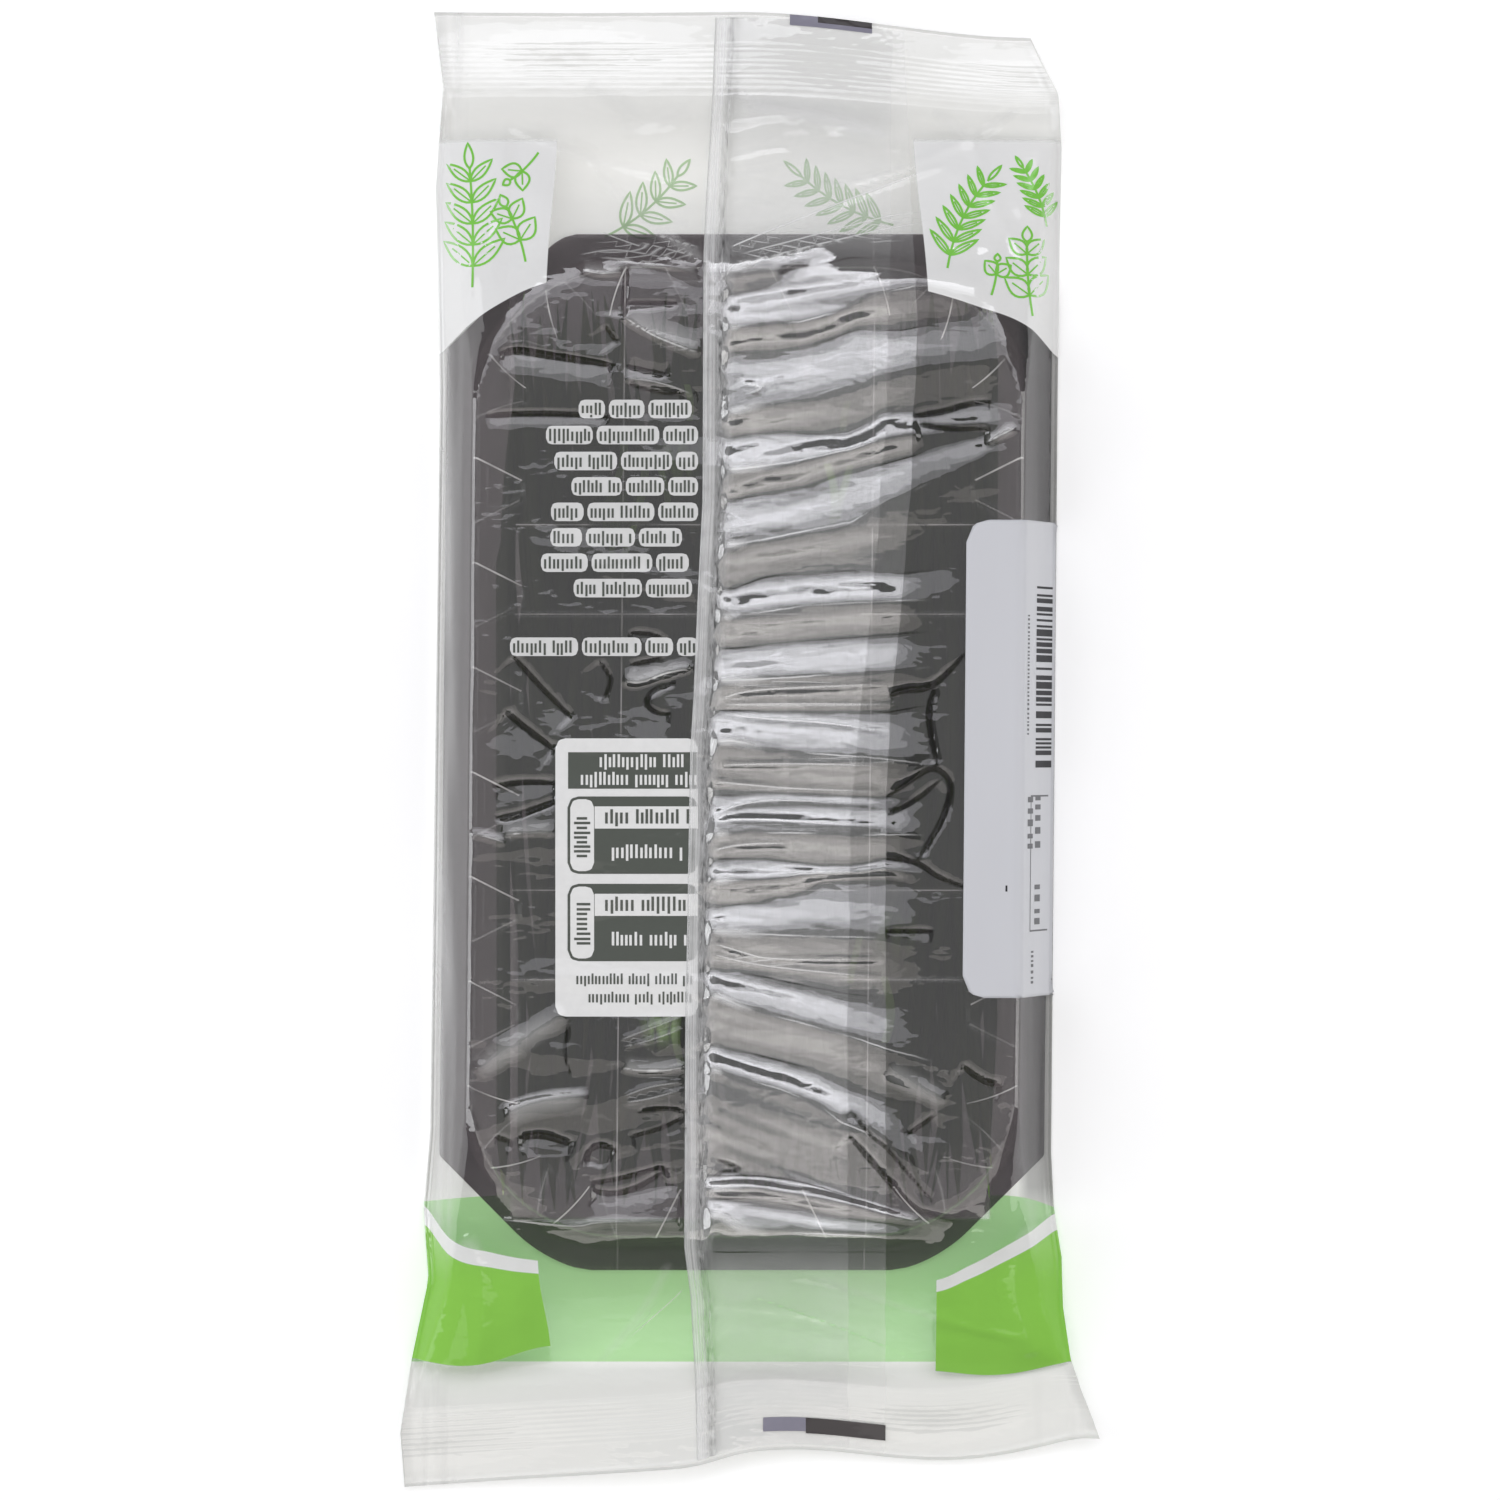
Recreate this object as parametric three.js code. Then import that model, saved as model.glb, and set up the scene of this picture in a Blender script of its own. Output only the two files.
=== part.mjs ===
// A flow-wrapped tray pack of fresh chives, lying on its face with the back of the pack up.
// Millimetres, +Z up, +Y towards the top end seal, origin under the middle of the pack on the surface that
// it lies on. The clear film is shut all round, so the pack is one solid out to the film: the upturned tray
// shows as the raised block in the middle, with a flat crimped seal at each end and the long seam folded
// over on the back.
import * as THREE from "three";

// Film bag
const PACK_LENGTH = 270;
const PACK_WIDTH = 128;
const SEAL_LENGTH = 15;
const SEAL_THICKNESS = 0.8;
const SEAL_HEIGHT = 4.6;
const SEAL_TIP_HEIGHT = 3.4;
const SEAL_WAVE = 1.7;
const SEAL_WAVE_SCALE = 15;
const SEAL_WAVE_PHASES = { top: 0.6, bottom: 2.4 };
const CRIMP_COUNT = 5;
const CRIMP_PITCH = 1.75;
const CRIMP_DEPTH = 0.2;
const CRIMP_MARGIN = 0.5;

// Cut edges of the two ends: how far they are drawn in from the full length at the right, and the bottom
// one's ripple, with its place and wavelength as shares of half the pack's width
const TOP_DRAWN_IN = 4.6;
const BOTTOM_DRAWN_IN = 9;
const BOTTOM_RIPPLE = 2.2;
const RIPPLE_START = -0.25;
const RIPPLE_LENGTH = 1.15;
const DRAWN_LENGTH = 45;

// Upturned tray under the film
const TRAY_LENGTH = 188.5;
const TRAY_WIDTH = 112;
const TRAY_DEPTH = 22;
const WALL_INSET = 6;
const BASE_CORNER = 27;
const CREASE_START = 31;
const CREASE_SPREAD = 16;
const TRAY_CENTRE = new THREE.Vector2(-0.8, -0.4);
const LEAN = 0.0094;
const RIM_HEIGHT = 1.3;
const FACE_LIFT = 0.9;
const FACE_FLAT_INSET = 18;
const FACE_LIFT_WIDTH = 9;
const LEAVING_OVERLAP = 2;
const FOOT_MARGIN = 0.8;
const FACET_COUNT = 8;
const CORNER_ROWS = 6;
const SLOPE_ROWS = 7;

// Long seam: a fin of two film edges folded over to the right
const SEAM_X = -9.3;
const SEAM_LEAN = 0.014;
const SEAM_RIDGE = 0.5;
const SEAM_RIDGE_WIDTH = 6;
const SEAM_STEP = 0.9;
const GATHER_DEPTH = 0.8;
const GATHER_ROWS = 15;
const GATHER_REACH = 30;
const GATHER_LEFT_REACH = 14;
const FIN_WIDTH = 36;
const FIN_THICKNESS = 0.7;
const FIN_FADE = 6;

// Soft pleats between the tray and each end seal
const PLEAT_HEIGHT = 0.7;
const PLEAT_COUNT = 5;

// Price label, wrapped round the right side
const LABEL_LENGTH = 86.5;
const LABEL_MIDDLE_Y = -1.6;
const LABEL_EDGE_X = 38.8;
const LABEL_UNDER_X = 47.5;
const LABEL_CORNER = 4;
const LABEL_GAP = 0.3;
const LABEL_THICKNESS = 0.2;
const LABEL_FIRST_STEP = 1;
const LABEL_CORNER_ROWS = 3;
const LABEL_ROWS = 4;

const HALF_LENGTH = PACK_LENGTH / 2;
const HALF_WIDTH = PACK_WIDTH / 2;
const SEAL_START = HALF_LENGTH - SEAL_LENGTH;
const BASE_HALF_LENGTH = TRAY_LENGTH / 2 - WALL_INSET;
const BASE_HALF_WIDTH = TRAY_WIDTH / 2 - WALL_INSET;
const SEAL_HALF = SEAL_THICKNESS / 2;
const LEAVING_Y = TRAY_LENGTH / 2 - LEAVING_OVERLAP;
const ROW_STEP = (BASE_HALF_LENGTH - BASE_CORNER) / GATHER_ROWS;
const FACET_ANGLES = Array.from({ length: FACET_COUNT + 1 }, (_, i) => (Math.PI / 2) * (i / FACET_COUNT));

const { smoothstep, clamp, lerp } = THREE.MathUtils;

function spread(from, to, steps) {
  return Array.from({ length: steps }, (_, i) => lerp(from, to, i / steps));
}

// The side edges of the pack, as [distance along the pack, side] pairs. The film is drawn in along the tray,
// flares to the bottom seal, and its top right corner is folded in.
const LEFT_EDGE = [
  [-HALF_LENGTH, -63.3],
  [-125, -HALF_WIDTH],
  [-112, -62],
  [-97, -58.9],
  [-84, -59.8],
  [-70, -58.6],
  [66, -56.8],
  [103, -57.5],
  [121, -56.1],
  [HALF_LENGTH, -57.8],
];
const RIGHT_EDGE = [
  [-HALF_LENGTH, HALF_WIDTH],
  [-125, 60.6],
  [-117, 58.6],
  [-104, 57.3],
  [-93, 57.1],
  [-84, 55.7],
  [-74, 55.2],
  [66, 56.4],
  [112, 57],
  [124, 56.4],
  [HALF_LENGTH, 51.4],
];

function along(edge, y) {
  const next = Math.max(1, edge.findIndex(([at]) => at >= y));
  const [y0, x0] = edge[next - 1];
  const [y1, x1] = edge[next];
  return lerp(x0, x1, clamp((y - y0) / (y1 - y0), 0, 1));
}

// How far each cut end is drawn in from the full length, for a place across it from -1 at the left to 1.
function bottomEdgeDrawnIn(across) {
  const slant = (BOTTOM_DRAWN_IN * (across + 1)) / 2;
  const ripple = BOTTOM_RIPPLE * Math.sin((2 * Math.PI * (across - RIPPLE_START)) / RIPPLE_LENGTH);
  const fadeIn = smoothstep(across, RIPPLE_START, 0);
  const fadeOut = smoothstep(across, RIPPLE_START + RIPPLE_LENGTH, 1);
  return slant + ripple * fadeIn * (1 - fadeOut);
}

function topEdgeDrawnIn(across) {
  return TOP_DRAWN_IN * smoothstep(across, 0, 1);
}

// The middle of the film thickness where the two sides of the bag lie together.
function sealMiddle(x, y) {
  const outside = smoothstep(Math.abs(y), LEAVING_Y, SEAL_START);
  const toTip = smoothstep(Math.abs(y), SEAL_START, HALF_LENGTH);
  const phase = y > 0 ? SEAL_WAVE_PHASES.top : SEAL_WAVE_PHASES.bottom;
  const wave = SEAL_WAVE * Math.sin(x / SEAL_WAVE_SCALE + phase) * toTip;
  return lerp(RIM_HEIGHT, SEAL_HEIGHT, outside) + (SEAL_TIP_HEIGHT - SEAL_HEIGHT) * toTip + wave;
}

// The ridges pressed into the end seals.
function crimp(y) {
  const into = Math.abs(y) - SEAL_START - CRIMP_MARGIN;
  const within = into > 0 && into < CRIMP_COUNT * CRIMP_PITCH;
  return within ? CRIMP_DEPTH * Math.sin((2 * Math.PI * into) / CRIMP_PITCH) : 0;
}

// Where the film at the tray's walls comes down to, on the right (side 1) or on the left (side -1).
function wallFoot(y, side) {
  return along(side > 0 ? RIGHT_EDGE : LEFT_EDGE, y) - side * FOOT_MARGIN;
}

// How far down a place is from the tray's base (0) to the film's edges and end seals (1). The film is drawn
// tight over both, so it is the hull of the two outlines: a flat facet for each direction that it faces.
function dropShare(x, y) {
  const middle = TRAY_CENTRE.x + LEAN * y;
  const side = x < middle ? -1 : 1;
  const foot = (wallFoot(y, side) - middle) * side;
  const place = new THREE.Vector2((x - middle) * side, Math.abs(y - TRAY_CENTRE.y));
  const corner = new THREE.Vector2(BASE_HALF_WIDTH - BASE_CORNER, BASE_HALF_LENGTH - BASE_CORNER);
  const outer = new THREE.Vector2(foot, SEAL_START);
  const shares = FACET_ANGLES.map((angle) => {
    const facing = new THREE.Vector2(Math.cos(angle), Math.sin(angle));
    const reach = (point) => point.clone().sub(corner).dot(facing) - BASE_CORNER;
    return reach(place) / reach(outer);
  });
  return clamp(Math.max(...shares), 0, 1);
}

function seamX(y) {
  return SEAM_X + SEAM_LEAN * y;
}

// The fin lies flat on the back, thicker at its root, where the two film edges are sealed.
function finRelief(x, y) {
  const from = x - seamX(y);
  const fadeAtSeals = 1 - smoothstep(Math.abs(y), SEAL_START - FIN_FADE, SEAL_START);
  const rise = smoothstep(from, -SEAM_STEP, 0);
  const strip = rise * (1 - smoothstep(from, FIN_WIDTH - SEAM_STEP, FIN_WIDTH));
  const root = rise * (1 - smoothstep(from, SEAM_RIDGE_WIDTH, SEAM_RIDGE_WIDTH + 2 * SEAM_STEP));
  return (FIN_THICKNESS * strip + SEAM_RIDGE * root) * fadeAtSeals;
}

// Along the tray's straight sides the film is pinched into the seam at every second row of the mesh.
function gathers(x, y) {
  const from = x - seamX(y);
  const reach = from < 0 ? GATHER_LEFT_REACH : GATHER_REACH;
  const nearSeam = Math.max(1 - Math.abs(from) / reach, 0);
  const pinch = (1 - Math.cos((Math.PI * y) / ROW_STEP)) / 2;
  const alongTray = 1 - smoothstep(Math.abs(y), BASE_HALF_LENGTH - BASE_CORNER, BASE_HALF_LENGTH);
  return -GATHER_DEPTH * pinch * nearSeam * alongTray;
}

// Soft pleats where the film gathers between the tray and an end seal.
function pleats(x, y) {
  const slope = (Math.abs(y) - BASE_HALF_LENGTH) / (SEAL_START - BASE_HALF_LENGTH);
  if (slope <= 0 || slope >= 1) return 0;
  const side = clamp(1 - Math.abs(x) / BASE_HALF_WIDTH, 0, 1);
  const wave = Math.sin((PLEAT_COUNT * Math.PI * x) / BASE_HALF_WIDTH);
  return PLEAT_HEIGHT * Math.sin(Math.PI * slope) * side * wave;
}

function backHeight(x, y) {
  const flat = sealMiddle(x, y) + SEAL_HALF + crimp(y);
  return lerp(TRAY_DEPTH, flat, dropShare(x, y)) + pleats(x, y) + finRelief(x, y) + gathers(x, y);
}

// The face lies flat on the table in the middle, and is a little off it at the tray's long sides and past
// the tray's ends.
function faceHeight(x, y) {
  const flat = sealMiddle(x, y) - SEAL_HALF + crimp(y);
  const liftStart = TRAY_WIDTH / 2 - FACE_FLAT_INSET;
  const lift = FACE_LIFT * smoothstep(Math.abs(x - LEAN * y), liftStart, liftStart + FACE_LIFT_WIDTH);
  return lerp(lift, flat, smoothstep(Math.abs(y), LEAVING_Y, SEAL_START));
}

// The side of the tray's base, and past its end the crease that runs out to the end seal's corner.
function baseEdge(y, side) {
  const past = Math.abs(y - TRAY_CENTRE.y) - (BASE_HALF_LENGTH - BASE_CORNER);
  const arc = Math.sqrt(Math.max(BASE_CORNER ** 2 - Math.max(past, 0) ** 2, 0)) - BASE_CORNER;
  const toSeal = smoothstep(Math.abs(y), BASE_HALF_LENGTH, SEAL_START);
  const inset = Math.max(BASE_HALF_WIDTH + arc, CREASE_START) + toSeal * CREASE_SPREAD;
  return TRAY_CENTRE.x + LEAN * y + side * inset;
}

// Lines that run the length of the pack, from its left edge to its right one, each with the number of
// columns that the mesh has between it and the next.
const TRACKS = [
  { at: (y) => along(LEFT_EDGE, y), columns: 1 },
  { at: (y) => wallFoot(y, -1), columns: 4 },
  { at: (y) => baseEdge(y, -1), columns: 5 },
  { at: (y) => seamX(y) - SEAM_STEP, columns: 1 },
  { at: seamX, columns: 1 },
  { at: (y) => seamX(y) + SEAM_RIDGE_WIDTH, columns: 1 },
  { at: (y) => seamX(y) + SEAM_RIDGE_WIDTH + 2 * SEAM_STEP, columns: 4 },
  { at: (y) => seamX(y) + FIN_WIDTH - SEAM_STEP, columns: 1 },
  { at: (y) => seamX(y) + FIN_WIDTH, columns: 3 },
  { at: (y) => baseEdge(y, 1), columns: 4 },
  { at: (y) => wallFoot(y, 1), columns: 1 },
  { at: (y) => along(RIGHT_EDGE, y), columns: 0 },
];

// The places across the pack at a distance along it, from the left edge to the right one.
function placesAcross(y) {
  const columnsFrom = ({ at, columns }, i) => spread(at(y), TRACKS[i + 1].at(y), columns);
  return [...TRACKS.slice(0, -1).flatMap(columnsFrom), along(RIGHT_EDGE, y)];
}

// Places along one half of the pack, from the middle to the end.
const CRIMP_START = SEAL_START + CRIMP_MARGIN + CRIMP_PITCH / 4;
const HALF_ALONG = [
  ...spread(0, BASE_HALF_LENGTH - BASE_CORNER, GATHER_ROWS),
  ...spread(BASE_HALF_LENGTH - BASE_CORNER, BASE_HALF_LENGTH, CORNER_ROWS),
  ...spread(BASE_HALF_LENGTH, SEAL_START, SLOPE_ROWS),
  SEAL_START,
  ...spread(CRIMP_START, CRIMP_START + CRIMP_COUNT * CRIMP_PITCH, 2 * CRIMP_COUNT),
  HALF_LENGTH,
];
const ALONG = [...HALF_ALONG.slice(1).reverse().map((y) => -y), ...HALF_ALONG];

// A point of the bag, on the back or on the face, with the end seals' cut edges drawn in and wavy.
function bagPoint(x, y, isBack) {
  const left = along(LEFT_EDGE, y);
  const across = (2 * (x - left)) / (along(RIGHT_EDGE, y) - left) - 1;
  const drawnIn = y < 0 ? bottomEdgeDrawnIn(across) : -topEdgeDrawnIn(across);
  const share = smoothstep(Math.abs(y), HALF_LENGTH - DRAWN_LENGTH, HALF_LENGTH);
  return new THREE.Vector3(x, y + drawnIn * share, isBack ? backHeight(x, y) : faceHeight(x, y));
}

// Bends a box of many segments: its columns and rows are counted, and each vertex goes where place() says.
function bend(columns, rows, place) {
  const geometry = new THREE.BoxGeometry(2, 2, 2, columns, rows, 1);
  const position = geometry.getAttribute("position");
  for (let i = 0; i < position.count; i++) {
    const column = Math.round(((position.getX(i) + 1) / 2) * columns);
    const row = Math.round(((position.getY(i) + 1) / 2) * rows);
    const point = place(column, row, position.getZ(i) > 0);
    position.setXYZ(i, point.x, point.y, point.z);
  }
  geometry.computeVertexNormals();
  return geometry;
}

function makeBag() {
  const places = ALONG.map(placesAcross);
  const geometry = bend(places[0].length - 1, ALONG.length - 1, (column, row, isBack) =>
    bagPoint(places[row][column], ALONG[row], isBack),
  );
  const film = new THREE.MeshStandardMaterial({ color: 0x6b696b, roughness: 0.25, metalness: 0 });
  const bag = new THREE.Mesh(geometry, film);
  bag.name = "bag";
  return bag;
}

// The bag's section where the label is: across the back, down the side and a little way under, as x and z
// pairs with an outward direction at each, on the bag's own places across so that the two lie parallel.
function labelSection(y) {
  const places = placesAcross(y);
  const past = (start) => places.filter((x) => x > start + LABEL_FIRST_STEP);
  const over = [LABEL_EDGE_X, ...past(LABEL_EDGE_X)];
  const under = [...past(LABEL_UNDER_X).reverse(), LABEL_UNDER_X];
  const line = [
    ...over.map((x) => new THREE.Vector2(x, backHeight(x, y))),
    ...under.map((x) => new THREE.Vector2(x, faceHeight(x, y))),
  ];
  const turned = (from, to) => new THREE.Vector2(from.y - to.y, to.x - from.x).normalize();
  return line.map((at, i) => {
    const before = turned(line[Math.max(i - 1, 0)], line[Math.max(i, 1)]);
    const after = turned(line[Math.min(i, line.length - 2)], line[Math.min(i + 1, line.length - 1)]);
    const out = before.clone().add(after).normalize();
    return { at, out: out.divideScalar(Math.max(out.dot(before), 0.5)) };
  });
}

function makeLabel() {
  const columns = labelSection(LABEL_MIDDLE_Y).length - 1;
  const half = LABEL_LENGTH / 2;
  const straight = half - LABEL_CORNER;
  const rows = [
    ...spread(-half, -straight, LABEL_CORNER_ROWS),
    ...spread(-straight, straight, LABEL_ROWS),
    ...spread(straight, half, LABEL_CORNER_ROWS),
    half,
  ];
  const geometry = bend(columns, rows.length - 1, (column, row, isOuter) => {
    const fromCorner = Math.max(Math.abs(rows[row]) - straight, 0);
    const rounding = LABEL_CORNER - Math.sqrt(LABEL_CORNER ** 2 - fromCorner ** 2);
    const { at, out } = labelSection(LABEL_MIDDLE_Y + rows[row])[column];
    const x = column === 0 ? at.x + rounding : Math.max(at.x, LABEL_EDGE_X + rounding);
    const off = LABEL_GAP + (isOuter ? LABEL_THICKNESS : 0);
    return new THREE.Vector3(x + out.x * off, LABEL_MIDDLE_Y + rows[row], at.y + out.y * off);
  });
  const paper = new THREE.MeshStandardMaterial({ color: 0xd2d3d7, roughness: 0.45, metalness: 0 });
  const label = new THREE.Mesh(geometry, paper);
  label.name = "label";
  return label;
}

const pack = new THREE.Group();
pack.add(makeBag(), makeLabel());

export default pack;
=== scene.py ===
"""A flow-wrapped tray of fresh chives, lying on its face: film, seam fin, upturned tray, herbs, label."""
import math

import bmesh
import bpy
import numpy as np
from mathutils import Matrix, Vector, noise


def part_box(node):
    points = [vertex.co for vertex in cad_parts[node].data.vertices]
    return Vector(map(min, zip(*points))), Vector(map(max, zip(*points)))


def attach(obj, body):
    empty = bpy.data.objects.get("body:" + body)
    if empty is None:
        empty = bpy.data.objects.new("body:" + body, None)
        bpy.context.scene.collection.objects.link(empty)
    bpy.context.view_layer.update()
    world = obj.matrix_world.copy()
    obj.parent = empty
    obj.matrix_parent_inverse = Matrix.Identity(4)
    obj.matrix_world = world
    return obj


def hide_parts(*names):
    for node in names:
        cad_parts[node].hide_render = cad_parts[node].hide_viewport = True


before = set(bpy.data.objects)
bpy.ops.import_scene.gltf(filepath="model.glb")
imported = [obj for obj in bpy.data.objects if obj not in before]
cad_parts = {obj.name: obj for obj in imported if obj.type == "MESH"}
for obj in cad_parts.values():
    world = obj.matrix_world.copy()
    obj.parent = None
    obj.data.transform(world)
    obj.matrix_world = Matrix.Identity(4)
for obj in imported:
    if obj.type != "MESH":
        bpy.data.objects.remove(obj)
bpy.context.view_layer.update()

bl_info = {
    "name": "Chive tray pack",
    "version": (1, 0, 0),
    "blender": (4, 5, 0),
    "location": "3D View > Sidebar > Chives",
    "description": "Builds a flow-wrapped tray of fresh chives around its solid frame",
    "category": "Add Mesh",
}

MM = 0.001
BODY = "root"
UV_MAP = "Surface"
# Names of values on the tray's vertices that place its painted highlight and shade lines
OUTLINE, FACING = "Outline", "Facing"
# Names of values on the film's vertices that place painted light and shade on its folds: painted dark
# strokes of shade, thin lines with a tone of painted highlight or shade, and a soft painted glow of
# highlight
STROKE, LINE, TONE, GLOW = "Stroke", "Line", "Tone", "Glow"

# How the film mirrors: the index that its shine comes from, the most that it mirrors at a low angle, and
# how blurred its mirror image is.
FILM_SHINE = 1.87
MOST_MIRRORED = 0.19
FILM_BLUR = 0.05

# The tray's middle line, which leans a little: its place side to side at the pack's middle, and its slope.
# Then how far the tray lies towards the bottom end.
TRAY_MIDDLE = -0.8 * MM
TRAY_LEAN = 0.0094
TRAY_DOWN = 0.4 * MM

# The seam's pressed band ends here, and the loose film starts, as distances from the seam's fold.
BAND_END, LOOSE_START = 3.2 * MM, 4.6 * MM

# The pack's side edges, as distance along the pack and side, in millimetres: drawn in along the tray, flared
# to the bottom seal, with the top right corner folded in.
LEFT_EDGE = np.array([
    (-135, -63.3), (-125, -64), (-112, -62), (-97, -58.9), (-84, -59.8),
    (-70, -58.6), (66, -56.8), (103, -57.5), (121, -56.1), (135, -57.8),
]) * MM
RIGHT_EDGE = np.array([
    (-135, 64), (-125, 60.6), (-117, 58.6), (-104, 57.3), (-93, 57.1), (-84, 55.7),
    (-74, 55.2), (66, 56.4), (112, 57), (124, 56.4), (135, 51.4),
]) * MM

# Which way the gathers run from the seam, as distance along the seam in millimetres and rise over run.
RIGHT_FLOW = np.array([
    (-115, -0.2), (-85, -0.12), (-68, -0.42), (-52, -0.3), (-35, -0.12), (-15, -0.04), (0, -0.02),
    (16, 0.02), (30, 0.1), (45, 0.3), (57, 0.34), (68, 0.1), (84, 0.14), (100, 0.3), (115, 0.4),
])
LEFT_FLOW = np.array([
    (-110, -0.05), (-85, -0.2), (-60, -0.25), (-40, 0.05), (0, 0.02), (40, 0), (60, 0.05),
    (75, 0.25), (90, 0.5), (105, 0.35),
])

# The seam's fold and the two free edges of its fin, as distance along the pack and side, in millimetres.
SEAM = np.array([
    (-135, -9.7), (-119, -10), (-100, -10.8), (-90, -11.9), (-50, -11.7), (0, -10.8), (10, -10.2),
    (27, -9.5), (45, -8.6), (90, -8.4), (100, -8), (119, -6.9), (135, -6.3),
]) * MM
FIN_OUTER = np.array([
    (-135, 24.5), (-119, 24.8), (-91, 24.6), (-27, 24.5), (-9, 24.6), (-2, 25), (9, 25.4), (18, 26.6),
    (35, 28.1), (46, 29), (64, 29.7), (77, 30.3), (93, 29.6), (119, 28.8), (135, 28.3),
]) * MM
FIN_INNER = np.array([
    (-135, 18.2), (-91, 17.7), (-46, 17.7), (-27, 17.9), (-9, 18.4), (0, 19.3), (9, 20.1), (18, 21.2),
    (27, 22.1), (35, 22.8), (46, 23.5), (55, 24.3), (64, 24.8), (77, 25), (93, 25.5), (135, 25.9),
]) * MM

# The pleats that the seam draws in on its right, from the top down, each a line across the pack in
# millimetres: a crest first, then a valley, and so on in turn.
PLEATS = [
    ((-2.7, 87.2), (3.6, 88.9), (9.1, 90), (18.2, 91.8), (29.6, 92.5)),
    ((-2.7, 82.1), (4.6, 84.3), (10, 87.2), (18.2, 89.1), (29.6, 89.1)),
    ((-2.7, 76.5), (2.7, 77), (9.1, 77.4), (14.6, 78.8), (21.9, 82.1), (29.6, 83.9)),
    ((-2.7, 71.9), (3.6, 71.7), (9.1, 72.6), (14.6, 74.3), (19.2, 76.1), (27.4, 75.9), (34.7, 77.4),
     (42, 78.6)),
    ((-2.7, 61.3), (1.8, 62.4), (7.3, 63.3), (10.9, 63.9), (18.2, 66.1), (27.4, 68.6), (38.3, 70.1)),
    ((-2.7, 56.8), (7.3, 57.3), (17.3, 56.9), (20.1, 58), (24.6, 60.9), (29.6, 60.9), (36.5, 61.9),
     (42.9, 63)),
    ((-2.7, 50.7), (7.3, 52), (18.2, 54.4), (24.6, 56.6), (29.6, 57.3), (42.9, 58.8)),
    ((-2.7, 45.4), (4.6, 46.4), (10.9, 47.8), (18.2, 50.4), (24.6, 51.8), (34.7, 54.7), (42.9, 56.6)),
    ((-2.7, 37.2), (2.7, 38.1), (9.1, 39.4), (18.2, 41.2), (24.6, 44.7), (29.6, 46.9), (34.7, 49.3),
     (42.9, 53.8)),
    ((-2.7, 29.2), (1.8, 31), (4.6, 31.6), (9.1, 31.9), (18.2, 32.5), (27.4, 31.9), (34.7, 32.8),
     (42.9, 34.7)),
    ((-2.7, 24.1), (0, 24.6), (5.5, 25.4), (10, 26.1), (18.2, 26.6), (27.4, 27), (42.9, 27.4)),
    ((-2.7, 18.4), (2.7, 19), (8.2, 19.5), (18.2, 20.3), (21.9, 20.6), (29.6, 21.2), (42.9, 21.9)),
    ((-2.7, 12.6), (7.3, 13.1), (12.8, 13.5), (21.9, 14.1), (26.5, 14.4), (32.8, 15), (42.9, 17.3)),
    ((-2.7, 7.1), (9.1, 7.1), (25.2, 6.9), (32.8, 8.2), (42.9, 9.1)),
    ((-2.7, 1.6), (2.7, 0.5), (9.1, -0.4), (18.2, -1.1), (24.6, -1.6), (32.8, -2.7), (42.9, -3.6)),
    ((-2.7, -8.2), (5.5, -8.2), (24.6, -8.6), (32.8, -9.1), (42.9, -9.1)),
    ((-6, -15.1), (-0.9, -14.8), (9.1, -15), (18.2, -15.3), (24.6, -15.3), (42.9, -15.5)),
    ((-6.4, -19.7), (3.6, -19.7), (7.3, -20.3), (12.8, -21.2), (18.2, -21.2), (24.6, -19.7), (31, -20.1),
     (42.9, -21.9)),
    ((-6.4, -23.7), (1.8, -23.4), (9.1, -22.4), (18.2, -22.1), (24.6, -21.5), (42.9, -23.7)),
    ((-5.8, -28.5), (0, -27.6), (6.4, -26.6), (10, -25.5), (12.4, -24.1), (18.2, -23.4), (24.6, -23.2),
     (32.8, -25.5), (42.9, -26.1)),
    ((-6, -32.7), (0, -33.2), (9.1, -33.6), (18.2, -33.8), (24.6, -33.9), (32.8, -32.8), (42.9, -32.8)),
    ((-6.8, -40), (-2.7, -40), (2.7, -41.1), (9.1, -42.5), (18.2, -44.2), (24.6, -44.9), (32.8, -42.9),
     (42.9, -42.9)),
    ((-5.8, -44.5), (-1.8, -46.2), (3.6, -47.8), (9.1, -49.3), (18.2, -51.8), (24.6, -54), (32.8, -56.2),
     (42.9, -58.4)),
    ((-6.4, -53.6), (-1.8, -54.4), (5.5, -56.2), (10.9, -57.7), (18.2, -60.4), (24.6, -63.1),
     (32.8, -64.6), (42.9, -63.9)),
    ((-6.4, -57.8), (-1.8, -59.3), (5.5, -61.3), (11.9, -63.9), (16.4, -67.2), (21.9, -69.5),
     (24.6, -71.2), (28.3, -75.7), (32.8, -81.2), (42.9, -84.9)),
    ((-6.4, -77), (1.8, -77), (9.1, -78.1), (18.2, -80.7), (25.5, -83), (30.1, -84.3), (36.5, -85.8),
     (42.9, -87.2)),
    ((-6.4, -79.2), (1.8, -79.2), (9.1, -80.3), (18.2, -82.1), (29.6, -85), (42.9, -88.3)),
    ((-6, -81.2), (0, -81.2), (9.1, -82.7), (15.5, -84.3), (29.6, -86.3), (42.9, -89.4)),
    ((-5.5, -84.1), (-1.8, -86.3), (3.6, -87), (10.9, -87.4), (29.6, -88.3), (42.9, -91.2)),
    ((-2.7, -90.9), (29.6, -90.9), (42.9, -93.4)),
]
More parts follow.
